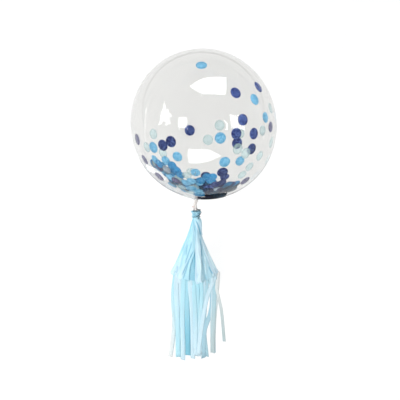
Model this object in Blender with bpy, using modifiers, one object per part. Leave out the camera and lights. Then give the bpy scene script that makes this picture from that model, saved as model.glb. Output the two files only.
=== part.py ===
"""A clear confetti balloon with a light blue tissue tassel, lying loose on a level surface.

The balloon rests on a small flat spot at the origin. Its neck leaves it towards -Y and points a
little below the horizontal. A dark string ties the neck to the twisted head of the tassel. The
pleated skirt slopes down to the surface, and the cut fringe lies on it along -Y. Metres, +Z up.
"""

import math
import random

import bmesh
import bpy
from mathutils import Matrix, Vector

MM = 0.001
FULL_TURN = 2 * math.pi

# Balloon: a sphere drawn out by a few per cent along an axis near its neck
BALLOON_WIDTH = 350 * MM
BALLOON_LENGTH = 364 * MM
BALLOON_SEGMENTS = 48
BALLOON_RINGS = 26
LONG_AXIS_SWING = math.radians(18)
REST_SPOT_WIDTH = 54 * MM

# Neck: gathered film, from the round wall to the cut rim under the string
NECK_TILT = math.radians(22)
NECK_SWING = math.radians(-7)
NECK_LENGTH = 27 * MM
NECK_WIDTH = 8.4 * MM
NECK_FILLET = 5 * MM
NECK_FOLDS = 8
NECK_FOLD_DEPTH = 0.45 * MM
KNOT_WIDTH = 9.8 * MM
KNOT_START = 0.80
NECK_END_WIDTH = 6.4 * MM
LIP_REACH = 4.5 * MM
LIP_NARROWNESS = 8

# Tie string: a loose end, turns round the neck, a run over the head and a tail at the waist
STRING_WIDTH = 1.3 * MM
STRING_TURNS = 2
STRING_PITCH = 1.8 * MM
STRING_END_LENGTH = 11 * MM
STRING_END_SPREAD = 1.9
STRING_TAIL_LENGTH = 5 * MM
STATIONS_PER_TURN = 8
POINTS_PER_STATION = 2

# Clearance between pieces that touch
FIT_GAP = 0.3 * MM

# Tassel head: the middle of the tissue, twisted and doubled back
HEAD_LENGTH = 15 * MM
HEAD_WIDTH = 20 * MM
HEAD_TOP_WIDTH = 17 * MM
HEAD_FLATNESS = 0.85
HEAD_TWIST = math.radians(150)
HEAD_PLEAT_DEPTH = 1.1 * MM
HEAD_STATIONS = (0.0, 0.12, 0.35, 0.6, 0.82)
WAIST_WIDTH = 14.6 * MM

# Tassel skirt: the uncut part of the tissue, pleated
SKIRT_LENGTH = 151 * MM
SKIRT_TWIST = math.radians(24)
SKIRT_STATIONS = 9
HEM_WIDTH = 114 * MM
HEM_HEIGHT_ABOVE = 21 * MM
HEM_HEIGHT_BELOW = 13 * MM
HEM_ROUND = 19 * MM
HEM_SHIFT = -3.5 * MM
PLEAT_DEPTH = 3 * MM

# Fringe: the same tissue, cut in strips. Each strip here is a few leaves thick
FRINGE_LENGTH = 199 * MM
FRINGE_WIDTH = 100 * MM
FRINGE_SHIFT = -9 * MM
TOP_STRIPS = 11
BOTTOM_STRIPS = 8
BOTTOM_STRIPS_SPREAD = 0.9
SLIT_SHARE = 0.12
STRIP_WIDTH = 9.4 * MM
STRIP_THICKNESS = 1.2 * MM
STRIP_CREASE = 0.9 * MM
STRIP_STATIONS = 11
STRIP_LANDING = 0.62
STRIP_BEND = 1.7
STRIP_UNEVEN = 3.5 * MM

# The strip at the right edge strays outwards and is short, and the next one leaves it a gap
STRAY_REACH = 28 * MM
STRAY_SHORT = 34 * MM
STRAY_GAP = 6 * MM

# Colours
FILM = (0.86, 0.87, 0.88, 1.0)
FILM_ALPHA = 0.3
STRING = (0.035, 0.06, 0.08, 1.0)
TISSUE = (0.42, 0.74, 0.86, 1.0)


def smooth(t):
    """From 0 to 1, level at both ends."""
    t = min(max(t, 0.0), 1.0)
    return t * t * (3 - 2 * t)


def mix(a, b, t):
    return a + (b - a) * t


class Run:
    """A straight run from a point, with its directions: along it, to its right and above it."""

    def __init__(self, start, tilt, swing=0.0):
        level = math.cos(tilt)
        self.start = start
        self.along = Vector((math.sin(swing) * level, -math.cos(swing) * level, -math.sin(tilt)))
        self.side = Vector((math.cos(swing), math.sin(swing), 0))
        self.up = self.along.cross(self.side)

    def at(self, distance, right=0.0, above=0.0):
        return self.start + distance * self.along + right * self.side + above * self.up


def stretch_matrix():
    """Draws a sphere out along the balloon's long axis."""
    axis = Run(Vector(), NECK_TILT, LONG_AXIS_SWING).along
    extra = BALLOON_LENGTH / BALLOON_WIDTH - 1
    return Matrix.Identity(3) + extra * Matrix([[a * b for b in axis] for a in axis])


def balloon_centre():
    """The balloon's centre, with the middle of the rest spot at the origin."""
    radius = BALLOON_WIDTH / 2
    stretch = stretch_matrix()
    down = stretch @ Vector((0, 0, -1))
    lowest = radius * (stretch @ down) / down.length
    flattened = radius - math.sqrt(radius**2 - (REST_SPOT_WIDTH / 2) ** 2)
    return Vector((-lowest.x, -lowest.y, -lowest.z - flattened))


def neck_reach():
    """How far from the centre of the unstretched sphere its wall turns into the neck."""
    return math.sqrt((BALLOON_WIDTH / 2) ** 2 - (NECK_WIDTH / 2 + NECK_FILLET) ** 2)


def neck_run():
    """The neck's run, from the end of the round wall."""
    radial = Run(Vector(), NECK_TILT, NECK_SWING).along
    root = balloon_centre() + stretch_matrix() @ (radial * neck_reach())
    return Run(root, NECK_TILT)


def neck_end_length():
    """The plain end of the neck, with room for the string's turns."""
    return STRING_TURNS * STRING_PITCH + 1.5 * STRING_WIDTH + 2 * FIT_GAP


def tassel_tilt(height):
    """The tilt at which the hem's lower edge, square to the run, meets the surface."""
    length = HEAD_LENGTH + SKIRT_LENGTH
    span = math.hypot(length, HEM_HEIGHT_BELOW)
    return math.asin(height / span) - math.atan2(HEM_HEIGHT_BELOW, length)


def joint_gap():
    """The gap between the neck's end and the head's flat top, with room for the bend there."""
    bend = abs(tassel_tilt(neck_run().at(NECK_LENGTH).z) - NECK_TILT)
    return FIT_GAP + (NECK_END_WIDTH / 2 + NECK_FOLD_DEPTH) * math.sin(bend)


def tassel_run():
    """The tassel's run, from the top of its head to the hem."""
    start = neck_run().at(NECK_LENGTH + joint_gap())
    return Run(start, tassel_tilt(start.z))


def new_material(name, colour, roughness, alpha=1.0):
    material = bpy.data.materials.new(name)
    material.use_nodes = True
    shader = material.node_tree.nodes["Principled BSDF"]
    shader.inputs["Base Color"].default_value = colour
    shader.inputs["Roughness"].default_value = roughness
    shader.inputs["Metallic"].default_value = 0.0
    shader.inputs["Alpha"].default_value = alpha
    return material


def new_object(name, mesh, material, collection):
    mesh.name = name
    mesh.materials.append(material)
    mesh.shade_smooth()
    mesh.set_sharp_from_angle(angle=math.radians(35))
    thing = bpy.data.objects.new(name, mesh)
    collection.objects.link(thing)
    return thing


def turned_mesh(profile, segments):
    """The mesh of a profile turned round Z. The profile runs from the top down its outer side."""
    outline = bpy.data.meshes.new("profile")
    corners = [(radius, 0, height) for radius, height in profile]
    outline.from_pydata(corners, [(i, i + 1) for i in range(len(corners) - 1)], [])
    guide = bpy.data.objects.new("profile", outline)
    bpy.context.scene.collection.objects.link(guide)
    screw = guide.modifiers.new("turn", "SCREW")
    screw.steps = screw.render_steps = segments
    screw.use_merge_vertices = True
    screw.merge_threshold = 0.01 * MM
    graph = bpy.context.evaluated_depsgraph_get()
    mesh = bpy.data.meshes.new_from_object(guide.evaluated_get(graph))
    bpy.data.objects.remove(guide)
    return mesh


def neck_profile():
    """Radius and distance along the neck, from its fillet to the middle of its cut rim."""
    radius = NECK_WIDTH / 2
    points = []
    for angle in (math.pi / 8, math.pi / 4, 3 * math.pi / 8, math.pi / 2):
        hollow = NECK_FILLET * (1 - math.sin(angle))
        points.append((radius + hollow, NECK_FILLET * (1 - math.cos(angle))))
    tied = NECK_LENGTH - neck_end_length()
    knot = KNOT_WIDTH / 2
    end = NECK_END_WIDTH / 2
    points += [(0.94 * radius, 0.55 * tied), (radius, 0.9 * KNOT_START * tied)]
    points += [(knot, mix(KNOT_START, 1, 0.1) * tied), (knot, mix(KNOT_START, 1, 0.65) * tied)]
    points += [(end, tied), (end, NECK_LENGTH), (0.0, NECK_LENGTH)]
    return points


def neck_corner(corner, run):
    """A corner of the turned neck, with its folds and its lip, in its place along the run."""
    distance = -corner.z - neck_reach()
    radius = math.hypot(corner.x, corner.y)
    angle = math.atan2(corner.y, corner.x)
    if radius > FIT_GAP:
        gathered = smooth(distance / NECK_FILLET)
        radius += NECK_FOLD_DEPTH * gathered * math.cos(NECK_FOLDS * angle)
        tied = NECK_LENGTH - neck_end_length()
        if KNOT_START * tied < distance < tied - FIT_GAP:
            radius += LIP_REACH * max(0.0, -math.cos(angle)) ** LIP_NARROWNESS
    return run.at(distance, radius * math.cos(angle), -radius * math.sin(angle))


def make_balloon(collection):
    """The film balloon with its neck: turned, drawn out, leant over and flat where it rests."""
    radius = BALLOON_WIDTH / 2
    reach = neck_reach()
    neck_angle = math.pi - math.atan2(NECK_WIDTH / 2 + NECK_FILLET, reach)
    profile = []
    for ring in range(BALLOON_RINGS + 1):
        angle = neck_angle * ring / BALLOON_RINGS
        profile.append((radius * math.sin(angle), radius * math.cos(angle)))
    profile += [(r, -reach - distance) for r, distance in neck_profile()]
    mesh = turned_mesh(profile, BALLOON_SEGMENTS)

    lean = Run(Vector(), NECK_TILT, NECK_SWING)
    turn = Matrix((lean.side, -lean.up, -lean.along)).transposed()
    stretch = stretch_matrix()
    centre = balloon_centre()
    neck = neck_run()
    body = bmesh.new()
    body.from_mesh(mesh)
    for vertex in body.verts:
        if vertex.co.z < -reach - FIT_GAP:
            vertex.co = neck_corner(vertex.co.copy(), neck)
        else:
            vertex.co = centre + stretch @ (turn @ vertex.co)
    cut = bmesh.ops.bisect_plane(
        body,
        geom=body.verts[:] + body.edges[:] + body.faces[:],
        plane_co=(0, 0, 0),
        plane_no=(0, 0, -1),
        clear_outer=True,
        dist=0.01 * MM,
    )
    rim = [item for item in cut["geom_cut"] if isinstance(item, bmesh.types.BMEdge)]
    bmesh.ops.contextual_create(body, geom=rim)
    bmesh.ops.recalc_face_normals(body, faces=body.faces[:])
    body.to_mesh(mesh)
    body.free()
    film = new_material("clear film", FILM, 0.05, FILM_ALPHA)
    return new_object("balloon", mesh, film, collection)


def radius_on_neck():
    """The radius of the string's turns round the neck's end."""
    return NECK_END_WIDTH / 2 + NECK_FOLD_DEPTH + FIT_GAP + STRING_WIDTH / 2


def string_place(distance, angle, radius):
    """A point of the string. Its turns follow the neck's run, and the rest the tassel's."""
    right, above = radius * math.cos(angle), radius * math.sin(angle)
    on_neck = neck_run().at(NECK_LENGTH + joint_gap() + distance, right, above)
    flatter = (1 - HEAD_FLATNESS) * WAIST_WIDTH / 2 * smooth(distance / HEAD_LENGTH)
    above -= flatter * math.sin(angle)
    on_tassel = tassel_run().at(distance, right, above)
    away = (radius - radius_on_neck()) / HEAD_PLEAT_DEPTH
    return on_neck.lerp(on_tassel, smooth(away))


def string_stations():
    """The string's route: distance along the tassel's run, angle round it and distance from it."""
    half = STRING_WIDTH / 2
    on_neck = radius_on_neck()
    clear = HEAD_PLEAT_DEPTH + FIT_GAP + half
    on_head = HEAD_WIDTH / 2 + clear
    on_waist = WAIST_WIDTH / 2 + clear + half
    over_top = -FIT_GAP - half
    last_turn = over_top - FIT_GAP
    first_turn = last_turn - STRING_TURNS * STRING_PITCH
    tip = over_top - STRING_END_SPREAD * half - FIT_GAP

    stations = []
    for share in (1.0, 0.75, 0.5, 0.3, 0.15, 0.05):
        right = share * STRING_END_LENGTH
        distance = mix(first_turn, tip, share)
        stations.append((distance, math.atan2(on_neck, right), math.hypot(on_neck, right)))

    steps = STATIONS_PER_TURN * STRING_TURNS
    for step in range(steps + 1):
        angle = math.pi / 2 + FULL_TURN * step / STATIONS_PER_TURN
        stations.append((mix(first_turn, last_turn, step / steps), angle, on_neck))

    # Down the head: turns made since the neck, distance along the run, and radius
    last = stations[-1][1]
    for turn, distance, radius in (
        (0.30, over_top, mix(on_neck, on_head, 0.35)),
        (0.50, over_top, mix(on_neck, on_head, 0.85)),
        (0.62, over_top + 0.10 * HEAD_LENGTH, on_head),
        (0.75, 0.30 * HEAD_LENGTH, on_head),
        (0.88, 0.62 * HEAD_LENGTH, mix(on_head, on_waist, 0.35)),
        (1.00, 0.90 * HEAD_LENGTH, on_waist),
    ):
        stations.append((distance, last + FULL_TURN * turn, radius))

    # Once round the waist, short of the run that came down
    last = stations[-1][1]
    for step in range(1, STATIONS_PER_TURN + 1):
        angle = last + FULL_TURN * step / (STATIONS_PER_TURN + 1)
        stations.append((0.95 * HEAD_LENGTH, angle, on_waist))

    distance, angle, radius = stations[-1]
    onwards = STRING_TAIL_LENGTH / on_waist / 2
    stations.append((distance + STRING_TAIL_LENGTH, angle + onwards, radius + 2 * half))
    return stations


def curve_through(stations, per_span):
    """Points of a smooth curve through the stations, in the stations' own numbers."""
    places = [Vector(station) for station in stations]
    before = 2 * places[0] - places[1]
    after = 2 * places[-1] - places[-2]
    places = [before, *places, after]
    points = []
    for a, b, c, d in zip(places, places[1:], places[2:], places[3:]):
        for step in range(per_span):
            t = step / per_span
            square = (2 * a - 5 * b + 4 * c - d) * t**2
            cube = (3 * b - a - 3 * c + d) * t**3
            points.append(b + ((c - a) * t + square + cube) / 2)
    points.append(places[-2])
    return points


def make_string(collection):
    """The dark string, with its loose end pressed wider."""
    route = curve_through(string_stations(), POINTS_PER_STATION)
    curve = bpy.data.curves.new("tie_string", "CURVE")
    curve.dimensions = "3D"
    curve.bevel_depth = STRING_WIDTH / 2
    curve.bevel_resolution = 1
    curve.use_fill_caps = True
    line = curve.splines.new("POLY")
    line.points.add(len(route) - 1)
    widened = 3 * POINTS_PER_STATION
    for count, (point, place) in enumerate(zip(line.points, route)):
        point.co = (*string_place(*place), 1)
        point.radius = mix(STRING_END_SPREAD, 1.0, smooth(count / widened))
    curve.materials.append(new_material("dark string", STRING, 0.7))
    thing = bpy.data.objects.new("tie_string", curve)
    collection.objects.link(thing)
    return thing


def strip_angles():
    """The corner angles round a section: each strip's edge, crest and edge, from the right."""
    angles = []
    for count, start in ((TOP_STRIPS, 0.0), (BOTTOM_STRIPS, math.pi)):
        pitch = math.pi / count
        for strip in range(count):
            first = start + pitch * (strip + SLIT_SHARE / 2)
            last = start + pitch * (strip + 1 - SLIT_SHARE / 2)
            angles += [first, (first + last) / 2, last]
    return angles


def tassel_size(distance):
    """Half width, half height above and below the run, pleat depth and twist, at a distance."""
    if distance < HEAD_LENGTH:
        t = distance / HEAD_LENGTH
        width = mix(HEAD_WIDTH, WAIST_WIDTH, smooth(t)) / 2
        width -= (HEAD_WIDTH - HEAD_TOP_WIDTH) / 2 * (1 - smooth(t / HEAD_STATIONS[1]))
        height = HEAD_FLATNESS * width
        return width, height, height, HEAD_PLEAT_DEPTH, SKIRT_TWIST + HEAD_TWIST * (1 - t)
    t = (distance - HEAD_LENGTH) / SKIRT_LENGTH
    waist = WAIST_WIDTH / 2
    return (
        mix(waist, HEM_WIDTH / 2 - PLEAT_DEPTH, t**1.12),
        mix(HEAD_FLATNESS * waist, HEM_HEIGHT_ABOVE - PLEAT_DEPTH, t**0.8),
        mix(HEAD_FLATNESS * waist, HEM_HEIGHT_BELOW - PLEAT_DEPTH, t**0.8),
        mix(HEAD_PLEAT_DEPTH, PLEAT_DEPTH, t),
        SKIRT_TWIST * (1 - t) ** 2,
    )


def tassel_corner(run, distance, index, angle, inset=0.0):
    """One corner of the tassel's section. The middle corner of each strip is a pleat's crest."""
    width, above, below, pleat, twist = tassel_size(distance)
    across, upwards = math.cos(angle + twist), math.sin(angle + twist)
    height = above if upwards > 0 else below
    normal = Vector((across / width, upwards / height)).normalized()
    proud = (pleat if index % 3 == 1 else 0.0) - inset
    right = width * across + proud * normal.x
    rise = height * upwards + proud * normal.y
    opened = max(0.0, (distance - HEAD_LENGTH) / SKIRT_LENGTH)
    back = HEM_ROUND * opened**3 * (right / (HEM_WIDTH / 2)) ** 2
    return run.at(distance - back, right + HEM_SHIFT * opened, rise)


def strip_rules():
    """For each strip: where its end lies across the fringe, its length and its layer."""
    chance = random.Random(7)
    rules = []
    for strip in range(TOP_STRIPS):
        across = FRINGE_SHIFT + FRINGE_WIDTH * (0.5 - (strip + 0.5) / TOP_STRIPS)
        length = FRINGE_LENGTH + chance.uniform(-STRIP_UNEVEN, STRIP_UNEVEN)
        if strip == 0:
            across += STRAY_REACH
            length -= STRAY_SHORT
        if strip == 1:
            across += STRAY_GAP
        rules.append((across, length, 1 + strip % 2))
    for strip in range(BOTTOM_STRIPS):
        share = (strip + 0.5) / BOTTOM_STRIPS - 0.5
        across = FRINGE_SHIFT + BOTTOM_STRIPS_SPREAD * FRINGE_WIDTH * share
        length = FRINGE_LENGTH - STRIP_UNEVEN + chance.uniform(-STRIP_UNEVEN, STRIP_UNEVEN)
        rules.append((across, length, 0))
    return rules


def strip_section(middle, slope, roll, half_width, crease):
    """Six corners of a strip's section: its outer edge, crest and edge, then the same inside."""
    side = Vector((1, 0, 0))
    up = Vector((0, -math.sin(slope), math.cos(slope)))
    wide = math.cos(roll) * side + math.sin(roll) * up
    out = math.sin(roll) * side - math.cos(roll) * up
    half_depth = (STRIP_THICKNESS + crease) / 2
    corners = []
    for depth in (half_depth - crease, -half_depth):
        for across, rise in ((-half_width, 0.0), (0.0, crease), (half_width, 0.0)):
            corners.append(middle + across * wide + (depth + rise) * out)
    return corners


def grow(body, face, places):
    """Extrudes a face and puts the corners of the new one at the places, in the face's order."""
    face = bmesh.ops.extrude_discrete_faces(body, faces=[face])["faces"][0]
    for corner, place in zip(face.verts, places):
        corner.co = place
    return face


def grow_strip(body, face, root, rule, run):
    """Draws one strip out of its root face, down to the surface and along it."""
    across, length, layer = rule
    order = [min(range(6), key=lambda i: (root[i] - v.co).length) for v in face.verts]
    start = sum(root, Vector()) / 6
    edge = root[2] - root[0]
    start_crease = (root[1] - (root[0] + root[2]) / 2).length
    start_roll = math.atan2(edge.dot(run.up), edge.dot(run.side))
    end_roll = 0.0
    if layer:
        # An upper strip's outer side is its top, so its section lies half a turn round
        start_roll %= FULL_TURN
        end_roll = math.pi
    leaf = STRIP_THICKNESS + STRIP_CREASE
    level = leaf / 2 + layer * (leaf + FIT_GAP)
    fall = start.z - level
    reach = math.sqrt(length**2 - fall**2)
    for station in range(1, STRIP_STATIONS + 1):
        u = (station / STRIP_STATIONS) ** 1.3
        to_fall = 1 - min(u / STRIP_LANDING, 1.0)
        steepness = fall * STRIP_BEND * to_fall ** (STRIP_BEND - 1)
        slope = math.atan(steepness / (reach * STRIP_LANDING))
        turned = smooth(u / (0.6 * STRIP_LANDING))
        height = level + fall * to_fall**STRIP_BEND
        sideways = mix(start.x, run.start.x + across, smooth(u))
        corners = strip_section(
            Vector((sideways, start.y - reach * u, height)),
            slope,
            mix(start_roll, end_roll, turned),
            mix(edge.length / 2, STRIP_WIDTH / 2, turned),
            mix(start_crease, STRIP_CREASE, turned),
        )
        face = grow(body, face, [corners[i] for i in order])


def make_tassel(collection):
    """The tissue tassel: twisted head, pleated skirt and fringe, drawn out as one solid."""
    run = tassel_run()
    angles = strip_angles()
    distances = [HEAD_LENGTH * share for share in HEAD_STATIONS]
    for station in range(SKIRT_STATIONS):
        share = station / (SKIRT_STATIONS - 1)
        distances.append(HEAD_LENGTH + SKIRT_LENGTH * share**1.2)

    body = bmesh.new()
    bmesh.ops.create_circle(body, cap_ends=True, segments=len(angles), radius=WAIST_WIDTH / 2)
    body.verts.index_update()
    face = body.faces[:][0]
    order = [vertex.index for vertex in face.verts]

    def ring(distance, inset=0.0):
        return [tassel_corner(run, distance, i, angles[i], inset) for i in order]

    for corner, place in zip(face.verts, ring(distances[0])):
        corner.co = place
    for distance in distances[1:]:
        face = grow(body, face, ring(distance))
    hem = dict(zip(order, face.verts))
    face = grow(body, face, ring(distances[-1], STRIP_THICKNESS))
    inner = dict(zip(order, face.verts))

    for strip, rule in enumerate(strip_rules()):
        outside = [hem[3 * strip + i] for i in range(3)]
        inside = [inner[3 * strip + i] for i in range(3)]
        halves = [f for f in outside[1].link_faces if inside[1] in f.verts]
        root = bmesh.utils.face_join(halves)
        grow_strip(body, root, [v.co.copy() for v in outside + inside], rule, run)
    bmesh.ops.holes_fill(body, edges=body.edges[:], sides=0)
    bmesh.ops.recalc_face_normals(body, faces=body.faces[:])
    mesh = bpy.data.meshes.new("tissue_tassel")
    body.to_mesh(mesh)
    body.free()
    tissue = new_material("tissue paper", TISSUE, 0.8)
    return new_object("tissue_tassel", mesh, tissue, collection)


def main():
    for thing in list(bpy.data.objects):
        bpy.data.objects.remove(thing)
    collection = bpy.data.collections.new("confetti balloon")
    bpy.context.scene.collection.children.link(collection)
    make_balloon(collection)
    make_string(collection)
    make_tassel(collection)


if __name__ == "__main__":
    main()
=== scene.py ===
"""The looks of a clear confetti balloon with a light blue tissue tassel.

The balloon's film, its gathered neck, the paper discs inside it, the tie string and the tassel's
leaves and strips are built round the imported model, which gives each of them its place. The balloon
lies at the origin, and the tassel lies along -Y. Metres, +Z up.
"""

import math
import random
from collections import namedtuple

import bmesh
import bpy
from bpy.props import FloatProperty, PointerProperty, StringProperty
from mathutils import Matrix, Vector, noise


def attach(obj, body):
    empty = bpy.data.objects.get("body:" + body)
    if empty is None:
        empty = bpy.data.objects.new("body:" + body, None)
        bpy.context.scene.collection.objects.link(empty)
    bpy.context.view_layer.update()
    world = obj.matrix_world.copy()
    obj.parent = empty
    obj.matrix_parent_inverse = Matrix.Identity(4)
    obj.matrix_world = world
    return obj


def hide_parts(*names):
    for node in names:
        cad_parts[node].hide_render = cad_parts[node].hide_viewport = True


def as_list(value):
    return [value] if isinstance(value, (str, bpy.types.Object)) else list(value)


bl_info = {
    "name": "Confetti Balloon",
    "version": (1, 0, 0),
    "blender": (4, 5, 0),
    "location": "View3D > Sidebar > Balloon",
    "description": "Builds a clear confetti balloon with a tissue tassel round its packed model",
    "category": "Add Mesh",
}

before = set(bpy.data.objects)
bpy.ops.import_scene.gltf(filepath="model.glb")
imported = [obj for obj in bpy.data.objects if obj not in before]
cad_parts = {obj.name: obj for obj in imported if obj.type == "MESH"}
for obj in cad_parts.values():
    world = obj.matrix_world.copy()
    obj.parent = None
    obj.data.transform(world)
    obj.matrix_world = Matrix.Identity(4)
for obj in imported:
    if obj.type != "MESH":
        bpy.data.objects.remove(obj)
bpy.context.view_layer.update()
BODY = "root"

MM = 0.001
FULL_TURN = 2 * math.pi

# Balloon, as in the part's source
BALLOON_WIDTH = 350 * MM
BALLOON_LENGTH = 364 * MM
LONG_AXIS_SWING = math.radians(18)
REST_SPOT_WIDTH = 54 * MM

# Neck, as in the part's source
NECK_TILT = math.radians(22)
NECK_SWING = math.radians(-7)
NECK_LENGTH = 27 * MM
NECK_WIDTH = 8.4 * MM
NECK_SHOWN = 6.8 * MM
NECK_BEND = 2.6 * MM
NECK_FILLET = 5 * MM
NECK_FOLD_DEPTH = 0.45 * MM
KNOT_SHOWN = 7.6 * MM
KNOT_START = 0.80
NECK_END_WIDTH = 6.4 * MM
LIP_REACH = 3.4 * MM
LIP_NARROWNESS = 2.5
STRING_WIDTH = 1.3 * MM
STRING_TURNS = 2
STRING_PITCH = 1.8 * MM
FIT_GAP = 0.3 * MM
TURNS_COVER = 2.0 * MM

# Tassel, as in the part's source
HEAD_LENGTH = 15 * MM
HEAD_WIDTH = 20 * MM
HEAD_TOP_WIDTH = 17 * MM
HEAD_FLATNESS = 0.85
HEAD_TWIST = math.radians(150)
HEAD_PLEAT_DEPTH = 1.1 * MM
HEAD_FLARE_SHARE = 0.12
WAIST_WIDTH = 14.6 * MM
SKIRT_LENGTH = 151 * MM
HEM_WIDTH = 114 * MM
HEM_HEIGHT_ABOVE = 21 * MM
HEM_HEIGHT_BELOW = 13 * MM
HEM_ROUND = 19 * MM
HEM_SHIFT = -3.5 * MM
STRIP_LANDING = 0.62
STRIP_BEND = 1.7

# The camera stands over the tassel's line, leant back from the vertical
CAMERA_ELEVATION = math.radians(68)
TO_CAMERA = Vector((0, -math.cos(CAMERA_ELEVATION), math.sin(CAMERA_ELEVATION)))
PICTURE_UP = Vector((0, math.sin(CAMERA_ELEVATION), math.cos(CAMERA_ELEVATION)))
PICTURE_RIGHT = Vector((1, 0, 0))
CAMERA_DISTANCE = 12.0
FRAME_WIDTH = 959 * MM
AIM_LEFT_OF_BALLOON = 8.6 * MM
AIM_BELOW_BALLOON = 181.9 * MM

# Film mesh
FILM_SEGMENTS = 192
FILM_RINGS = 120
FUNNEL_WIDTH = 24 * MM
FUNNEL_RINGS = 7
GATHER_REACH = 62 * MM
GATHER_DEPTH = 0.55 * MM
GATHER_WAVES = ((11, 0.7), (17, 2.1))

# Neck mesh
NECK_SEGMENTS = 120
NECK_ROWS = 70
NECK_TWIST = math.radians(50)
# Width and distance along the free neck, as shares, from the fillet to the knot, and in the knot
NECK_SHAPE = ((0.92, 0.45), (1.0, 0.65), (1.0, 0.72))
KNOT_SHAPE = (0.82, 0.85, 0.89, 0.93)
# Each set of folds round the neck: how many, how deep and where it starts
NECK_FOLDS = ((7, 1.0, 0.0), (12, 0.7, 1.3), (19, 0.4, 0.0))
SLEEVE_GAP = 0.25 * MM

# Paper discs, 1 inch wide. Their places are shares of the balloon's radius, as the camera sees them
DISC_SEGMENTS = 22
DISC_THICKNESS = 0.16 * MM
DISC_GAP = 0.35 * MM
DISC_OVERLAP = 0.9
# Where a disc is cut across, so that it can bend, as shares of its width
DISC_CUTS = (-0.25, 0.0, 0.25)
NEAR_WIDTH = 1.07
OUTERMOST = 0.985
SINGLE_TONES = (0.92, 1.05)
# The pile, with its upper and lower edge at even steps from its left end to its right one
PILE_DISCS = 110
PILE_LEFT, PILE_RIGHT = -0.70, 0.47
PILE_TOPS = (-0.53, -0.55, -0.59, -0.70, -0.68, -0.71, -0.76, -0.82, -0.86, -0.86)
PILE_LOWS = (-0.55, -0.64, -0.78, -0.88, -0.95, -0.98, -0.985, -0.965, -0.92, -0.87)
# Its discs are pale as far as here, give or take the spread, and darker further right, with painted
# shade
PALE_UNTIL, PALE_SPREAD = -0.05, 0.1
PALE_TONES, DARK_TONES = (0.75, 1.0), (1.0, 2.8)
# The painted shade's darkest tones, in the pile and below the foot's top
PILE_DARKEST, FOOT_DARKEST = 0.2, 0.08
FOOT_TOP = -0.86
# The share of its lowest discs that lie on the film's near side
NEAR_SHARE, NEAR_BELOW = 0.25, -0.88
# The discs at the pile's foot, nearly black with painted shade. In degrees: their bearings round the
# outline, from straight down in the picture, and their rows behind it, with how far they stray
FOOT_BEARINGS = (-1, 3, 7, 11, 15)
FOOT_ROWS = (-4, 4, 11, 18)
FOOT_MIDDLE = 7
FOOT_REACH = 17
FOOT_NARROWING = 0.6
FOOT_STRAY = 2.5
FOOT_TONES = (0.05, 0.16)
FOOT_CURL = 0.2 * MM
# From this share of the radius, a place that the camera sees is taken to be on the outline
PAST_OUTLINE = 1.2

# Tassel mesh. The skirt opens and leans in evenly spaced shares of its length
HEAD_SEGMENTS = 190
HEAD_ROWS = 60
HEAD_PLEATS = 19
HEAD_TOP_SHARE = 0.3
HEAD_DISH = 2.2 * MM
HEAD_DIP = 1.8 * MM
HEAD_SWIRL = 1.3
HEAD_CRUMPLE = 0.8 * MM
HEAD_TUCK = 4 * MM
HEAD_PINCH = 0.35 * MM
HEAD_CORNER = 1.8 * MM
# The fold that hides the string: how far it stands out, and where it starts, is fullest and ends
HEAD_COVER = 2.3 * MM
HEAD_COVER_SPAN = (10.5 * MM, 13.5 * MM, 19 * MM)
SKIRT_OPENING = (0.0, 0.16, 0.453, 0.75, 1.0)
SKIRT_RISE = 0.8
SKIRT_LEAN = (0.0, -3.4 * MM, -4.4 * MM, -3.4 * MM, HEM_SHIFT)
LEAF_ROWS = 90
LEAF_COLUMN = 1.1 * MM
STRIP_ROWS = 44
STRIP_COLUMNS = 4
STRIP_TUCK = 12 * MM
STRIP_CROWN = (0.15, 0.5)
STRIP_ROLL = 0.1
STRIP_SKEW = 2.0
STRIP_SETTLING = 12
STRIP_HELD = 0.12
HEM_CORNER = 0.96
# The strips are lit more evenly than the leaves, so their colour is darkened and greyed a little:
# painted shade
STRIP_SHADE = Vector((0.91, 0.885, 0.865))
UNDER_HEM = -0.9 * MM
UNDER_INNER = -2.7 * MM
NOTCH = (-0.11, 0.17)
FLOOR_GAP = 0.3 * MM
CREASES = 35
FINE_CREASES = 95
CREASE_DEPTH = 4 * MM
# The creases are shallow by the waist and grow down the skirt with this power of the distance
CREASE_GROWTH = 0.7
FOLD_LINES = 17
FOLD_WIDTH = 1.4 * MM
UNDER_FOLD_DEPTH, UNDER_FOLD_WIDTH = 0.6, 0.13
# How much the coarse and fine creases, the crumple and the sharp folds count in the skirt's relief
RELIEF_SHARES = (0.6, 0.28, 0.25, -0.12)
# How far painted shade darkens the creases' hollows, painted highlight lightens their ridges, and both
# mark the sharp folds
HOLLOW_SHADE, RIDGE_HIGHLIGHT, FOLD_SHADE_AND_HIGHLIGHT = 0.6, 0.45, 0.85
BED_CELL = (2 * MM, 6 * MM)

# Patterns, as wide as on the real material. The thread's strands and the tissue's fibres are drawn
# coarser than the real ones, so that they show
FILM_CLOUD = 1.67 * MM
DYE_CLOUD = 3.85 * MM
TISSUE_FIBRE = 1.43 * MM
TISSUE_CRUMPLE = 6.25 * MM
THREAD_STRAND = 1.4 * MM
MULTIPLY = {"data_type": "RGBA", "blend_type": "MULTIPLY"}


def smooth(t):
    """From 0 to 1, level at both ends."""
    t = min(max(t, 0.0), 1.0)
    return t * t * (3 - 2 * t)


def mix(a, b, t):
    return a + (b - a) * t


def along(values, t):
    """A smooth line through evenly spaced values, read at t from 0 to 1."""
    place = min(max(t, 0.0), 1.0) * (len(values) - 1)
    first = min(int(place), len(values) - 2)
    u = place - first
    b, c = values[first], values[first + 1]
    a = values[first - 1] if first else 2 * b - c
    d = values[first + 2] if first + 2 < len(values) else 2 * c - b
    square = (2 * a - 5 * b + 4 * c - d) * u**2
    cube = (3 * b - a - 3 * c + d) * u**3
    return b + ((c - a) * u + square + cube) / 2


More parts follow.
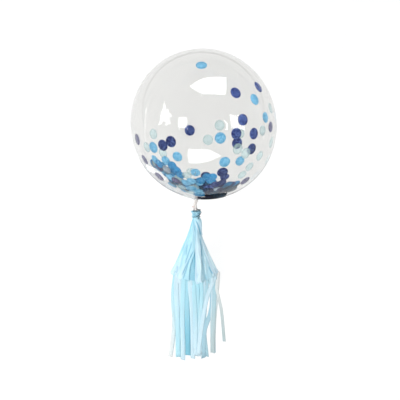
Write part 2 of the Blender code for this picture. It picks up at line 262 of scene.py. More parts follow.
def rough(x, y, z):
    """Smooth noise, about -1 to 1."""
    return noise.noise(Vector((x, y, z)))


def rough_round(angle, spread, down):
    """Smooth noise that meets itself after a full turn."""
    return rough(spread * math.cos(angle), spread * math.sin(angle), down)


class Run:
    """A straight run from a point, with its directions: along it, to its right and above it."""

    def __init__(self, start, tilt, swing=0.0):
        level = math.cos(tilt)
        self.start = start
        self.along = Vector((math.sin(swing) * level, -math.cos(swing) * level, -math.sin(tilt)))
        self.side = Vector((math.cos(swing), math.sin(swing), 0))
        self.up = self.along.cross(self.side)

    def at(self, distance, right=0.0, above=0.0):
        return self.start + distance * self.along + right * self.side + above * self.up


def stretch_matrix():
    """Draws a sphere out along the balloon's long axis."""
    axis = Run(Vector(), NECK_TILT, LONG_AXIS_SWING).along
    extra = BALLOON_LENGTH / BALLOON_WIDTH - 1
    return Matrix.Identity(3) + extra * Matrix([[a * b for b in axis] for a in axis])


def rest_flattening():
    """How much lower the round wall would reach if it weren't flat where it rests."""
    radius = BALLOON_WIDTH / 2
    return radius - math.sqrt(radius**2 - (REST_SPOT_WIDTH / 2) ** 2)


def balloon_centre():
    """The balloon's centre, with the middle of the rest spot at the origin."""
    stretch = stretch_matrix()
    down = stretch @ Vector((0, 0, -1))
    lowest = BALLOON_WIDTH / 2 * (stretch @ down) / down.length
    return Vector((-lowest.x, -lowest.y, -lowest.z - rest_flattening()))


def neck_reach():
    """How far from the centre of the unstretched sphere its wall turns into the neck."""
    return math.sqrt((BALLOON_WIDTH / 2) ** 2 - (NECK_WIDTH / 2 + NECK_FILLET) ** 2)


def neck_run():
    """The neck's run, from the end of the round wall."""
    radial = Run(Vector(), NECK_TILT, NECK_SWING).along
    root = balloon_centre() + stretch_matrix() @ (radial * neck_reach())
    return Run(root, NECK_TILT)


def neck_end_length():
    """The plain end of the neck, under the string's turns."""
    return STRING_TURNS * STRING_PITCH + 1.5 * STRING_WIDTH + 2 * FIT_GAP


def tassel_tilt(height):
    """The tilt at which the hem's lower edge, square to the run, meets the surface."""
    length = HEAD_LENGTH + SKIRT_LENGTH
    span = math.hypot(length, HEM_HEIGHT_BELOW)
    return math.asin(height / span) - math.atan2(HEM_HEIGHT_BELOW, length)


def tassel_run():
    """The tassel's run, from the top of its head to the hem."""
    neck = neck_run()
    bend = abs(tassel_tilt(neck.at(NECK_LENGTH).z) - NECK_TILT)
    gap = FIT_GAP + (NECK_END_WIDTH / 2 + NECK_FOLD_DEPTH) * math.sin(bend)
    start = neck.at(NECK_LENGTH + gap)
    return Run(start, tassel_tilt(start.z))


RADIUS = BALLOON_WIDTH / 2
CENTRE = balloon_centre()
STRETCH = stretch_matrix()
NECK = neck_run()
TASSEL = tassel_run()
HEM_MIDDLE = TASSEL.at(HEAD_LENGTH + SKIRT_LENGTH, HEM_SHIFT)
AIM = CENTRE - AIM_LEFT_OF_BALLOON * PICTURE_RIGHT - AIM_BELOW_BALLOON * PICTURE_UP
EYE = AIM + CAMERA_DISTANCE * TO_CAMERA


def on_film(direction, inset=0.0):
    """A place on the balloon's wall, or that far inside it. Its lower half sits a little flatter."""
    place = CENTRE + STRETCH @ (direction.normalized() * (RADIUS - inset))
    if place.z < CENTRE.z:
        place.z = CENTRE.z * (1 - (CENTRE.z - place.z) / (CENTRE.z + rest_flattening()))
    return place


def seen(right, up, near=True):
    """The direction of a place on the near or far wall, from where the camera sees it."""
    unstretch = STRETCH.inverted()
    eye = unstretch @ (EYE - CENTRE) / RADIUS
    way = unstretch @ (right * PICTURE_RIGHT + up * PICTURE_UP) - eye
    half = eye.dot(way) / way.length_squared
    root = math.sqrt(max(half**2 - (eye.length_squared - 1) / way.length_squared, 0.0))
    return eye - (half + root if near else half - root) * way


def linear(code):
    """An sRGB hex colour, as the linear RGBA that the shaders take."""
    channels = []
    for start in (1, 3, 5):
        share = int(code[start : start + 2], 16) / 255
        channels.append(share / 12.92 if share <= 0.04045 else ((share + 0.055) / 1.055) ** 2.4)
    return (*channels, 1.0)


def feed(tree, node, inputs):
    """Sets inputs by name or number. Each is a value, or the node or socket that feeds it."""
    for name, value in inputs.items():
        named = (s for s in node.inputs if s.enabled and s.name == name)
        socket = node.inputs[name] if isinstance(name, int) else next(named)
        if isinstance(value, bpy.types.Node):
            value = next(s for s in value.outputs if s.enabled)
        if isinstance(value, bpy.types.NodeSocket):
            tree.links.new(value, socket)
        else:
            socket.default_value = value


def tint(settings, name):
    """One of a group's colours, ready to be mixed."""
    return Vector(linear(getattr(settings, name))[:3])


def add_node(tree, kind, inputs=None, **settings):
    """Adds a node with its settings and inputs."""
    node = tree.nodes.new(kind)
    for name, value in settings.items():
        setattr(node, name, value)
    feed(tree, node, inputs or {})
    return node


def new_material(name, **inputs):
    """A material with one Principled shader, whose plain inputs are given by name."""
    material = bpy.data.materials.new(name)
    material.use_nodes = True
    shader = material.node_tree.nodes["Principled BSDF"]
    for label, value in inputs.items():
        shader.inputs[label.replace("_", " ")].default_value = value
    return material, material.node_tree, shader


def place_and_tone_and_shade(tree):
    """Where a point lies on its piece, and the colour given to its corners there, painted shade and
    highlight included.
    """
    place = add_node(tree, "ShaderNodeTexCoord").outputs["Object"]
    return place, add_node(tree, "ShaderNodeAttribute", attribute_name="tone_and_shade")


def balloon_film(settings):
    """Clear stretched film, blown and glossy: it shows what is behind it and mirrors the lamps."""
    return new_material(
        "balloon film",
        Base_Color=linear(settings.tint),
        Roughness=settings.roughness,
        IOR=settings.ior,
        Transmission_Weight=1.0,
    )[0]


def gathered_film(settings):
    """The same film bunched in folds: milky, and softly glossy along the folds."""
    material, tree, shader = new_material("gathered film", Roughness=0.35, Coat_Weight=0.4)
    place, tone_and_shade = place_and_tone_and_shade(tree)
    cloud = {"Vector": place, "Scale": 1 / FILM_CLOUD, "Detail": 3.0}
    paler = {"Value": add_node(tree, "ShaderNodeTexNoise", cloud), "To Min": 0.86, "To Max": 1.1}
    milky = {"Factor": 1.0, "A": tone_and_shade, "B": add_node(tree, "ShaderNodeMapRange", paler)}
    feed(tree, shader, {"Base Color": add_node(tree, "ShaderNodeMix", milky, **MULTIPLY)})
    return material


def disc_paper(name, colour, speck, alpha):
    """Dyed tissue paper punched in discs: matt, with a cloudy dye."""
    material, tree, shader = new_material(
        name, Roughness=0.9, Specular_IOR_Level=0.1, Alpha=alpha
    )
    place, tone_and_shade = place_and_tone_and_shade(tree)
    cloud = add_node(
        tree, "ShaderNodeTexNoise", {"Vector": place, "Scale": 1 / DYE_CLOUD, "Detail": 1.0}
    )
    amount = add_node(
        tree, "ShaderNodeMapRange", {"Value": cloud, "From Min": 0.47, "From Max": 0.56}
    )
    dye = {"Factor": amount, "A": linear(colour), "B": linear(speck)}
    dyed = add_node(tree, "ShaderNodeMix", dye, data_type="RGBA")
    shaded = add_node(tree, "ShaderNodeMix", {"Factor": 1.0, "A": dyed, "B": tone_and_shade}, **MULTIPLY)
    feed(tree, shader, {"Base Color": shaded})
    return material


def tissue_paper(settings):
    """Light blue tissue leaves: soft and matt, with fine fibres, and light comes through them."""
    material, tree, shader = new_material("tissue paper", Roughness=0.8, Specular_IOR_Level=0.25)
    place, leaf = place_and_tone_and_shade(tree)
    fibre = add_node(
        tree, "ShaderNodeTexNoise", {"Vector": place, "Scale": 1 / TISSUE_FIBRE, "Detail": 4.0}
    )
    paler = {"Value": fibre, "From Min": 0.3, "From Max": 0.7, "To Min": 0.93, "To Max": 1.05}
    mottle = {"Factor": 1.0, "A": leaf, "B": add_node(tree, "ShaderNodeMapRange", paler)}
    mottled = add_node(tree, "ShaderNodeMix", mottle, **MULTIPLY)
    crumple = add_node(
        tree, "ShaderNodeTexNoise", {"Vector": place, "Scale": 1 / TISSUE_CRUMPLE, "Detail": 5.0}
    )
    bump = {"Strength": 0.35, "Distance": 0.4 * MM, "Height": crumple}
    feed(tree, shader, {"Base Color": mottled, "Normal": add_node(tree, "ShaderNodeBump", bump)})
    through = add_node(tree, "ShaderNodeBsdfTranslucent", {"Color": mottled})
    both = {0: settings.translucency, 1: shader, 2: through}
    surface = {"Surface": add_node(tree, "ShaderNodeMixShader", both)}
    feed(tree, tree.nodes["Material Output"], surface)
    return material


def tie_thread(settings):
    """Twisted dark thread: matt and slightly hairy."""
    material, tree, shader = new_material("dark thread", Roughness=0.8, Specular_IOR_Level=0.3)
    place = add_node(tree, "ShaderNodeTexCoord").outputs["Object"]
    # A diagonal band repeats each time that ten times the scale, times x + y + z, is a full turn
    scale = FULL_TURN / (10 * math.sqrt(3) * THREAD_STRAND)
    strand = {"Vector": place, "Scale": scale, "Distortion": 1.5, "Detail": 2.0}
    ply = add_node(tree, "ShaderNodeTexWave", strand, bands_direction="DIAGONAL")
    dye = {"Factor": ply, "A": linear(settings.thread), "B": linear(settings.thread_light)}
    bump = {"Strength": 0.6, "Distance": 0.3 * MM, "Height": ply}
    looks = {
        "Base Color": add_node(tree, "ShaderNodeMix", dye, data_type="RGBA"),
        "Normal": add_node(tree, "ShaderNodeBump", bump),
    }
    feed(tree, shader, looks)
    return material


def new_piece(name, body, material, slot=None):
    """Ends a piece's modelling: its mesh becomes a smooth-shaded object in the scene."""
    mesh = bpy.data.meshes.new(name)
    body.to_mesh(mesh)
    body.free()
    mesh.shade_smooth()
    mesh.materials.append(material)
    piece = bpy.data.objects.new(name, mesh)
    bpy.context.scene.collection.objects.link(piece)
    if slot:
        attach(piece, BODY)
    return piece


def thicken(piece, thickness, offset=0.0):
    """Gives a piece its wall, on both sides of its faces, or with -1 on their inner side."""
    solidify = piece.modifiers.new("thickness", "SOLIDIFY")
    solidify.thickness = thickness
    solidify.offset = offset
    solidify.use_even_offset = False


def tone_and_shade_layer(body):
    """The layer of a mesh that holds each corner's colour, painted shade and highlight included."""
    return body.verts.layers.float_color.get("tone_and_shade") or body.verts.layers.float_color.new("tone_and_shade")


def shaped_grid(body, columns, rows, shape):
    """Adds a grid. Its shape gives each corner's place and colour, from its shares across and down."""
    layer = tone_and_shade_layer(body)
    grid = bmesh.ops.create_grid(body, x_segments=columns, y_segments=rows, size=0.5)
    for corner in grid["verts"]:
        place, colour = shape(corner.co.x + 0.5, 0.5 - corner.co.y)
        corner.co = place
        corner[layer] = (*colour, 1.0)


def face_outwards(body):
    """Turns the faces so that they point outwards."""
    bmesh.ops.recalc_face_normals(body, faces=body.faces[:])


def close_seams(body):
    """Joins the corners that lie on one another and turns the faces outwards."""
    bmesh.ops.remove_doubles(body, verts=body.verts[:], dist=0.002 * MM)
    bmesh.ops.dissolve_degenerate(body, edges=body.edges[:], dist=0.001 * MM)
    face_outwards(body)


def neck_profile():
    """Radius and distance along the neck, from its fillet to its cut rim."""
    radius, knot, end = NECK_SHOWN / 2, KNOT_SHOWN / 2, NECK_END_WIDTH / 2
    tied = NECK_LENGTH - neck_end_length()
    points = []
    for step in range(2, 9):
        angle = math.pi / 2 * step / 8
        hollow = NECK_FILLET * (1 - math.sin(angle))
        points.append((radius + hollow, NECK_FILLET * (1 - math.cos(angle))))
    points += [(width * radius, reach * tied) for width, reach in NECK_SHAPE]
    points += [(knot, reach * tied) for reach in KNOT_SHAPE]
    return points + [(end, tied), (end, mix(tied, NECK_LENGTH, 0.5)), (end, NECK_LENGTH)]


def make_film(settings):
    """The blown film: a drawn-out sphere that is drawn in to the neck in pleats."""
    body = bmesh.new()
    bmesh.ops.create_uvsphere(
        body, u_segments=FILM_SEGMENTS, v_segments=FILM_RINGS, radius=RADIUS
    )
    pole = [v for v in body.verts if v.co.z < 0 and v.co.xy.length < FUNNEL_WIDTH / 2]
    bmesh.ops.delete(body, geom=pole, context="VERTS")
    lean = Run(Vector(), NECK_TILT, NECK_SWING)
    turn = Matrix((lean.side, -lean.up, -lean.along)).transposed()
    angles = {v: math.atan2(v.co.y, v.co.x) for v in body.verts}
    rim = [e for e in body.edges if e.is_boundary]

    for vertex in body.verts:
        depth = 0.0
        if vertex.co.z < 0:
            angle = angles[vertex]
            spread = (vertex.co.xy.length - FUNNEL_WIDTH / 2) / GATHER_REACH
            wave = sum(math.cos(count * angle + start) for count, start in GATHER_WAVES)
            depth = GATHER_DEPTH * (1 - smooth(spread)) ** 2 * (1 + wave / 2)
        vertex.co = on_film(turn @ vertex.co, depth)

    for radius, distance in neck_profile()[:FUNNEL_RINGS]:
        before = {v for e in rim for v in e.verts}
        grown = bmesh.ops.extrude_edge_only(body, edges=rim)["geom"]
        rim = [g for g in grown if isinstance(g, bmesh.types.BMEdge) and g.is_boundary]
        for vertex in {v for e in rim for v in e.verts}:
            others = (e.other_vert(vertex) for e in vertex.link_edges)
            angle = angles[vertex] = angles[next(v for v in others if v in before)]
            vertex.co = NECK.at(distance, radius * math.cos(angle), -radius * math.sin(angle))
    bmesh.ops.holes_fill(body, edges=rim)
    face_outwards(body)
    film = new_piece("balloon_film", body, balloon_film(settings), "clear_film")
    thicken(film, settings.wall, -1.0)
    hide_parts("balloon")


def make_neck(settings):
    """The gathered end of the film: folds, a slight twist, the knot with its lip, and the cut end."""
    profile = neck_profile()[2:]
    radii = [radius for radius, distance in profile]
    distances = [distance for radius, distance in profile]
    tied = NECK_LENGTH - neck_end_length()
    milky, dark, rosy = (tint(settings, name) for name in ("neck", "neck_fold_shade", "lip"))

    def shape(s, t):
        distance = along(distances, t)
        angle = FULL_TURN * s
        folded = smooth(distance / NECK_FILLET)
        turned = angle + NECK_TWIST * distance / NECK_LENGTH
        wave = sum(depth * math.cos(count * turned + start) for count, depth, start in NECK_FOLDS)
        wander = rough_round(angle, 2, distance / (4 * MM))
        radius = along(radii, t) + SLEEVE_GAP + NECK_FOLD_DEPTH * folded * (0.8 * wave + wander)
        lip = 0.0
        if KNOT_START * tied < distance < tied:
            lip = max(0.0, -math.cos(angle)) ** LIP_NARROWNESS
            radius += LIP_REACH * lip * smooth((tied - distance) / MM)
        # Painted shade in the folds' hollows, and the rosy lip
        colour = dark.lerp(milky, smooth(0.6 + 0.35 * wave)).lerp(rosy, min(1.0, 2 * lip))
        covered = smooth(1.2 - 1.6 * math.cos(angle - 0.3)) * smooth((distance - tied) / MM)
        radius += TURNS_COVER * covered
        bend = NECK_BEND * math.sin(math.pi * min(max(distance - NECK_FILLET, 0) / tied, 1.0))
        right = radius * math.cos(angle) - bend
        return NECK.at(distance, right, -radius * math.sin(angle)), colour

    body = bmesh.new()
    shaped_grid(body, NECK_SEGMENTS, NECK_ROWS, shape)
    close_seams(body)
    rims = [e for e in body.edges if e.is_boundary]
    cut_end = NECK.at(NECK_LENGTH)
    end = [e for e in rims if (e.verts[0].co - cut_end).length < NECK_WIDTH]
    bmesh.ops.holes_fill(body, edges=end)
    face_outwards(body)
    neck = new_piece("gathered_neck", body, gathered_film(settings), "clear_film")
    thicken(neck, SLEEVE_GAP / 2, -1.0)
    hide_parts("balloon")


class Pile:
    """The discs placed so far, to lay the next one on top of those that it overlaps."""

    def __init__(self):
        self.placed = []

    def lay(self, direction, width):
        """The inset from the film at which a disc clears the ones below it."""
        inset = DISC_GAP
        for other, depth in self.placed:
            if (other - direction).length * RADIUS < DISC_OVERLAP * width:
                inset = max(inset, depth + DISC_GAP)
        self.placed.append((direction, inset))
        return inset


def add_disc(body, direction, inset, width, chance, curl, tone_and_shade):
    """One punched disc on the film's inner side, bent with it. Its curl lifts two sides of it."""
    layer = tone_and_shade_layer(body)
    direction = direction.normalized()
    side = direction.orthogonal().normalized()
    top = direction.cross(side)
    disc = bmesh.ops.create_cone(
        body, cap_ends=True, segments=DISC_SEGMENTS, radius1=width / 2, radius2=width / 2,
        depth=DISC_THICKNESS,
    )
    geometry = set(disc["verts"])
    for cut in DISC_CUTS:
        parts = list(geometry) + list({e for v in geometry for e in v.link_edges})
        parts += list({f for v in geometry for f in v.link_faces})
        made = bmesh.ops.bisect_plane(
            body, geom=parts, plane_co=(cut * width, 0, 0), plane_no=(1, 0, 0), dist=0.01 * MM
        )
        geometry |= {g for g in made["geom"] if isinstance(g, bmesh.types.BMVert)}
    turn = chance.uniform(0, FULL_TURN)
    lean = chance.uniform(0.3, 1.0) * curl
    for corner in geometry:
        x, y, z = corner.co
        lifted = curl * (2 * x / width) ** 2 + lean * (0.5 + x / width)
        right = x * math.cos(turn) - y * math.sin(turn)
        up = x * math.sin(turn) + y * math.cos(turn)
        way = direction * RADIUS + right * side + up * top
        corner.co = on_film(way, inset + lifted + DISC_THICKNESS / 2 - z)
        corner[layer] = (tone_and_shade, tone_and_shade, tone_and_shade, 1.0)


# The papers that the discs are punched from: the real one's name, and the colour of its specks
# The grey blue and slate papers are shaded copies of the others: painted shade on discs seen on their
# shaded side
PAPERS = {
    "sky": ("sky blue tissue", "#8CC8E8"),
    "blue": ("mid blue tissue", "#4A96C4"),
    "navy": ("navy tissue", "#6079BE"),
    "aqua": ("pale aqua tissue", "#CBE4E6"),
    "grey": ("grey blue tissue", "#B9C6CF"),
    "slate": ("slate tissue", "#7A7BA0"),
}
# Discs that cling to the film singly, as shares of the balloon's radius right and up
NEAR, FAR = True, False
SINGLE_DISCS = {
    "sky": (
        (-0.03, 0.81, NEAR), (0.70, 0.34, NEAR), (0.85, 0.09, FAR), (0.23, -0.19, NEAR),
        (-0.69, -0.32, NEAR), (-0.36, -0.45, FAR), (0.29, -0.52, NEAR), (0.50, -0.51, FAR),
    ),
    "aqua": (
        (0.92, 0.22, FAR), (0.81, -0.09, FAR), (0.22, -0.02, FAR), (0.06, -0.22, FAR),
        (-0.69, -0.14, FAR), (-0.78, -0.32, FAR), (-0.56, -0.40, FAR), (0.77, -0.44, FAR),
        (0.63, -0.59, FAR), (0.53, -0.70, FAR), (0.93, -0.25, NEAR), (0.88, -0.49, FAR),
        (0.47, -0.34, NEAR), (0.58, -0.40, NEAR), (0.50, -0.13, FAR),
    ),
    "navy": (
        (0.44, 0.43, NEAR), (0.75, 0.51, NEAR), (0.54, 0.06, NEAR),
        (0.45, -0.13, NEAR), (0.46, -0.26, NEAR), (0.69, -0.13, NEAR), (0.66, -0.34, NEAR),
        (-0.19, -0.09, FAR), (-0.45, -0.24, NEAR), (-0.56, -0.29, NEAR), (0.26, -0.66, NEAR),
        (0.29, -0.73, FAR),
    ),
    "slate": (
        (0.92, -0.04, FAR), (-0.91, -0.21, NEAR), (-0.81, -0.49, FAR), (-0.61, -0.72, NEAR),
        (0.57, -0.78, NEAR),
    ),
}
# Discs on top of the pile, in the order in which they lie on one another: paper, place and tone, whose
# lowest values are painted shade
PILE_TOP_DISCS = (
    ("slate", -0.61, -0.60, 0.7), ("sky", -0.67, -0.49, 1.0), ("blue", -0.61, -0.55, 1.0),
    ("sky", -0.52, -0.51, 1.0), ("blue", -0.43, -0.58, 1.05), ("blue", -0.37, -0.64, 1.1),
    ("blue", -0.32, -0.70, 0.9), ("sky", -0.47, -0.73, 1.0), ("grey", -0.51, -0.63, 0.75),
    ("slate", -0.38, -0.78, 0.8), ("sky", -0.43, -0.84, 0.7), ("aqua", -0.30, -0.87, 0.9),
    ("sky", -0.24, -0.81, 0.95), ("aqua", -0.23, -0.71, 0.9), ("aqua", -0.17, -0.66, 0.9),
    ("sky", -0.11, -0.67, 0.95),
    ("sky", -0.17, -0.79, 0.9), ("aqua", -0.13, -0.87, 0.9), ("blue", -0.04, -0.78, 0.9),
    ("navy", 0.03, -0.71, 0.5), ("blue", 0.05, -0.73, 0.95), ("blue", 0.12, -0.73, 1.1),
    ("blue", 0.10, -0.78, 1.0), ("navy", 0.07, -0.88, 0.8), ("navy", 0.17, -0.83, 0.5),
    ("navy", 0.25, -0.81, 0.4), ("blue", 0.44, -0.82, 0.8), ("navy", 0.38, -0.83, 0.4),
    ("blue", 0.34, -0.83, 0.55), ("navy", 0.27, -0.89, 0.4), ("blue", 0.31, -0.93, 0.4),
    ("grey", 0.19, -0.90, 0.8), ("aqua", -0.18, -0.94, 0.9), ("blue", -0.04, -0.95, 0.5),
    ("navy", 0.05, -0.97, 0.3), ("navy", 0.16, -0.98, 0.15), ("navy", 0.25, -0.96, 0.2),
)
LEFT_MIX = ("sky",) * 5 + ("blue",) * 7 + ("aqua",) * 3 + ("grey",)
RIGHT_MIX = ("navy",) * 5 + ("blue",) * 5


def foot_discs(chance):
    """The discs at the pile's foot, darkened with painted shade, along the balloon's outline and a
    little behind it.
    """
    for row in FOOT_ROWS:
        for bearing in FOOT_BEARINGS:
            if abs(bearing - FOOT_MIDDLE) > FOOT_REACH - FOOT_NARROWING * row:
                continue
            turn = math.radians(bearing + chance.uniform(-FOOT_STRAY, FOOT_STRAY))
            edge = seen(PAST_OUTLINE * math.sin(turn), -PAST_OUTLINE * math.cos(turn)).normalized()
            back = math.radians(row + chance.uniform(-FOOT_STRAY, FOOT_STRAY))
            direction = math.cos(back) * edge - math.sin(back) * TO_CAMERA
            paper = "navy" if bearing < FOOT_MIDDLE + 3 else "blue"
            yield paper, direction, chance.uniform(*FOOT_TONES)


def pile_discs(chance):
    """The pile, between its edges, and then the discs that are seen on top of it."""
    for count in range(PILE_DISCS):
        right = mix(PILE_LEFT, PILE_RIGHT, chance.random())
        share = (right - PILE_LEFT) / (PILE_RIGHT - PILE_LEFT)
        up = mix(along(PILE_TOPS, share), along(PILE_LOWS, share), chance.random() ** 0.8)
        up = max(up, -math.sqrt(OUTERMOST - right**2))
        pale = right + chance.uniform(-PALE_SPREAD, PALE_SPREAD) < PALE_UNTIL
        paper = chance.choice(LEFT_MIX if pale else RIGHT_MIX)
        # Further right the discs are darkened with painted shade, most of all by the foot
        darkest = FOOT_DARKEST if up < FOOT_TOP else PILE_DARKEST
        tone_and_shade = chance.uniform(*PALE_TONES) if pale else darkest * chance.uniform(*DARK_TONES)
        near = chance.random() < NEAR_SHARE and up < NEAR_BELOW
        yield paper, right, up, near, chance.uniform(0, 0.8) * MM, tone_and_shade
    for paper, right, up, tone_and_shade in PILE_TOP_DISCS:
        yield paper, right, up, FAR, chance.uniform(0.2, 1.2) * MM, tone_and_shade


def single_discs(chance):
    """The discs that cling to the film singly."""
    for paper, spots in SINGLE_DISCS.items():
        for right, up, near in spots:
            tone_and_shade = chance.uniform(*SINGLE_TONES)
            # Less light reaches the dark ones in the balloon's lower half
            if paper == "navy":
                tone_and_shade *= mix(0.55, 1.0, smooth(up + 0.6))
            yield paper, right, up, near, chance.uniform(0, 0.3) * MM, tone_and_shade


def make_confetti(settings):
    """Tissue discs: single ones that cling to the film, and a pile on its slope by the neck."""
    bodies = {name: bmesh.new() for name in PAPERS}
    chance = random.Random(11)
    pile = Pile()
    for paper, direction, tone_and_shade in foot_discs(chance):
        inset = pile.lay(direction.normalized(), settings.disc)
        add_disc(bodies[paper], direction, inset, settings.disc, chance, FOOT_CURL, tone_and_shade)
    for discs in (pile_discs, single_discs):
        for paper, right, up, near, curl, tone_and_shade in discs(chance):
            width = settings.disc * (NEAR_WIDTH if near else 1.0)
            inset = pile.lay(seen(right, up, near).normalized(), width)
            # Further in, a disc would be seen nearer to the middle, so it moves out again
            shift = max(1.0, min(RADIUS / (RADIUS - inset), OUTERMOST / math.hypot(right, up)))
            direction = seen(shift * right, shift * up, near)
            add_disc(bodies[paper], direction, inset, width, chance, curl, tone_and_shade)

    for name, (title, speck) in PAPERS.items():
        cover = settings.aqua_cover if name == "aqua" else 1.0
        paper = disc_paper(title, getattr(settings, name), speck, cover)
        face_outwards(bodies[name])
        discs = new_piece("confetti_" + name, bodies[name], paper, "tissue_paper")
        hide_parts("balloon")


def dress_string(settings):
    """The tie string keeps its solid, which has its true shape, and gets its twisted thread."""
    string = bpy.data.objects[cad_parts["tie_string"].name]
    string.data.materials.clear()
    string.data.materials.append(tie_thread(settings))


def skirt_size(t):
    """Half width, half height above and below, and lean at t from the waist to the hem."""
    waist = WAIST_WIDTH / 2
    return (
        mix(waist, HEM_WIDTH / 2, along(SKIRT_OPENING, t)),
        mix(HEAD_FLATNESS * waist, HEM_HEIGHT_ABOVE, t**SKIRT_RISE),
        mix(HEAD_FLATNESS * waist, HEM_HEIGHT_BELOW, t**SKIRT_RISE),
        along(SKIRT_LEAN, t),
    )


def skirt_place(t, across, upwards, out=0.0):
    """A place on the skirt, or that far outside it. Across and upwards are shares of its half sizes."""
    t = max(t, 0.0)
    width, above, below, lean = skirt_size(t)
    height = above if upwards > 0 else below
    normal = Vector((across / width, upwards / height)).normalized()
    right = width * across + out * normal.x
    back = HEM_ROUND * t**3 * (right / (HEM_WIDTH / 2)) ** 2
    distance = HEAD_LENGTH + SKIRT_LENGTH * t - back
    return TASSEL.at(distance, right + lean, height * upwards + out * normal.y)


def facets(turn, count, down, seed):
    """A relief round the skirt, about -1 to 1: flat facets between sharp creases."""
    place = turn * count
    first = math.floor(place)
    ends = [rough(1.37 * ((first + n) % count), 1.3 * down, seed) for n in (0, 1)]
    return 1.7 * mix(*ends, place - first)


# A fold that runs down the skirt's upper side: the shares of its length where it starts and ends,
# its places across at even steps in millimetres, and its depth, from 1, a fold dark with painted shade,
# to -1, a ridge light with painted highlight
Fold = namedtuple("Fold", "start end places depth")
FOLDS = (
    Fold(0.36, 0.78, (-5.5, -8.8, -13.7, -19.6, -24.3), 0.8),
    Fold(0.42, 0.62, (-15.6, -18.6, -20.7), 0.6),
    Fold(0.49, 0.98, (1.2, -6.2, -13.9, -20.8, -26.5, -30.9), 1.0),
    Fold(0.58, 1.05, (-7.1, -13.3, -19.4, -24.4, -28.5), 0.7),
    Fold(0.02, 0.31, (-1.9, 5.0, 10.5, 14.8), 1.0),
    Fold(0.01, 0.24, (-8.2, -3.5, 1.0), 0.4),
    Fold(0.31, 0.66, (12.4, 15.2, 17.4, 18.8), 0.9),
    Fold(0.48, 0.92, (29.1, 35.1, 42.3, 50.5), -1.0),
    Fold(0.79, 0.98, (32.9, 37.7, 43.4), 0.9),
    Fold(0.58, 0.95, (24.8, 26.0, 26.6), -0.8),
    Fold(0.62, 0.95, (19.8, 19.6, 18.6), 0.5),
    Fold(0.80, 1.0, (-40.6, -43.0, -44.5), 0.5),
    Fold(0.55, 0.85, (-29.3, -34.1, -39.0), -0.7),
)


def fold_line(angle, down):
    """The sharp folds that run down the skirt: from 1 in one dark with painted shade to -1 on one light
    with painted highlight.
    """
    # Those of the lower side follow a noise's zero lines
    if math.sin(angle) < 0:
        wander = 0.1 * rough(2 * angle, 2.5 * down, 71.0)
        value = rough(FOLD_LINES * (angle + wander) / math.pi, 1.6 * down, 83.0)
        return UNDER_FOLD_DEPTH * smooth(1 - abs(value) / UNDER_FOLD_WIDTH)
    across = mix(WAIST_WIDTH, HEM_WIDTH, along(SKIRT_OPENING, down)) / 2 * math.cos(angle)
    deepest = 0.0
    for fold in FOLDS:
        u = (down - fold.start) / (fold.end - fold.start)
        if 0 < u < 1:
            gap = abs(across - along(fold.places, u) * MM)
            depth = fold.depth * smooth(1.5 - gap / FOLD_WIDTH) * smooth(5 * u) * smooth(5 - 5 * u)
            deepest = max(deepest, depth, key=abs)
    return deepest


def relief(angle, down):
    """How the skirt is creased, about -1 to 1. The creases fan out from the waist."""
    turn = (angle - 0.45 * down * max(0.0, -math.cos(angle))) / FULL_TURN
    coarse = facets(turn, CREASES, down, 7.0)
    fine = facets(turn + 0.02 * down, FINE_CREASES, 2.2 * down, 27.0)
    parts = (coarse, fine, rough_round(angle, 3, 9.0 * down), fold_line(angle, down))
    return sum(share * part for share, part in zip(RELIEF_SHARES, parts))


def on_skirt(down, angle, out=0.0):
    """A place on the creased skirt at an angle round it, or that far outside it."""
    out += CREASE_DEPTH * down**CREASE_GROWTH * relief(angle, down)
    return skirt_place(min(down, 1.0), math.cos(angle), math.sin(angle), out)


# A leaf of the skirt. Its edges are angles round the section, in degrees from the right by way of
# the top, at even steps from the waist to its end. Its layer is in millimetres, and so are its
# overrun past the hem, how ragged that is, its drift to the right there, and how far it bulges out
# at even steps
Leaf = namedtuple("Leaf", "name left right layer overrun tints seed ragged drift bulge last",
                  defaults=(1.2, 0.0, (0.0, 0.0), 1.0))
RIGHT_EDGE = (-15, -20, -20, -20, -20)
LEFT_EDGE = (205, 195, 192, 192, 192)
# The right side's grey leaves are partly the tissue's own greyer blue and partly painted shade, away
# from the light
LEAVES = (
    # The inner leaf darkens in its middle with painted shade between the leaves
    Leaf("inner_leaf", (182, 182, 182, 182, 182), (-178, -178, -178, -178, -178), -2.2, 0,
         ("light", "shaded_blue", "upper"), 3.0),
    Leaf("right_leaf", (100, 62, 68, 80, 82), RIGHT_EDGE, -0.6, 12, ("grey", "grey", "grey"), 11.0,
         4.0),
    Leaf("right_fold", (52, 48, 42, 41, 41), (5, 7, 9, 10, 10), 0.1, 3, ("grey", "pale", "pale"), 61.0),
    Leaf("left_leaf", LEFT_EDGE, (150, 92, 88, 108, 118), -0.3, 5, ("upper", "light", "pale"), 31.0),
    Leaf("left_fold", (158, 100, 90, 113, 123), (140, 85, 86.5, 103, 104), 0.3, 1,
         ("upper", "light", "light"), 23.0),
    Leaf("middle_leaf", (152, 92, 86, 89, 89), (120, 40, 61, 72, 75), 0.9, 16,
         ("upper", "pale", "pale"), 43.0, 1.2, 0.45),
    Leaf("waist_leaf", (124, 108, 92, 72, 52, 33), (-25, -25, -25, -25, -25, -15), 1.5, 0,
         ("light", "pale", "pale"), 47.0, 1.2, 0.0, (0.0, 4.0, 4.2, 3.0, 1.2, 0.0), 0.29),
)
UNDER_LEAVES = 4


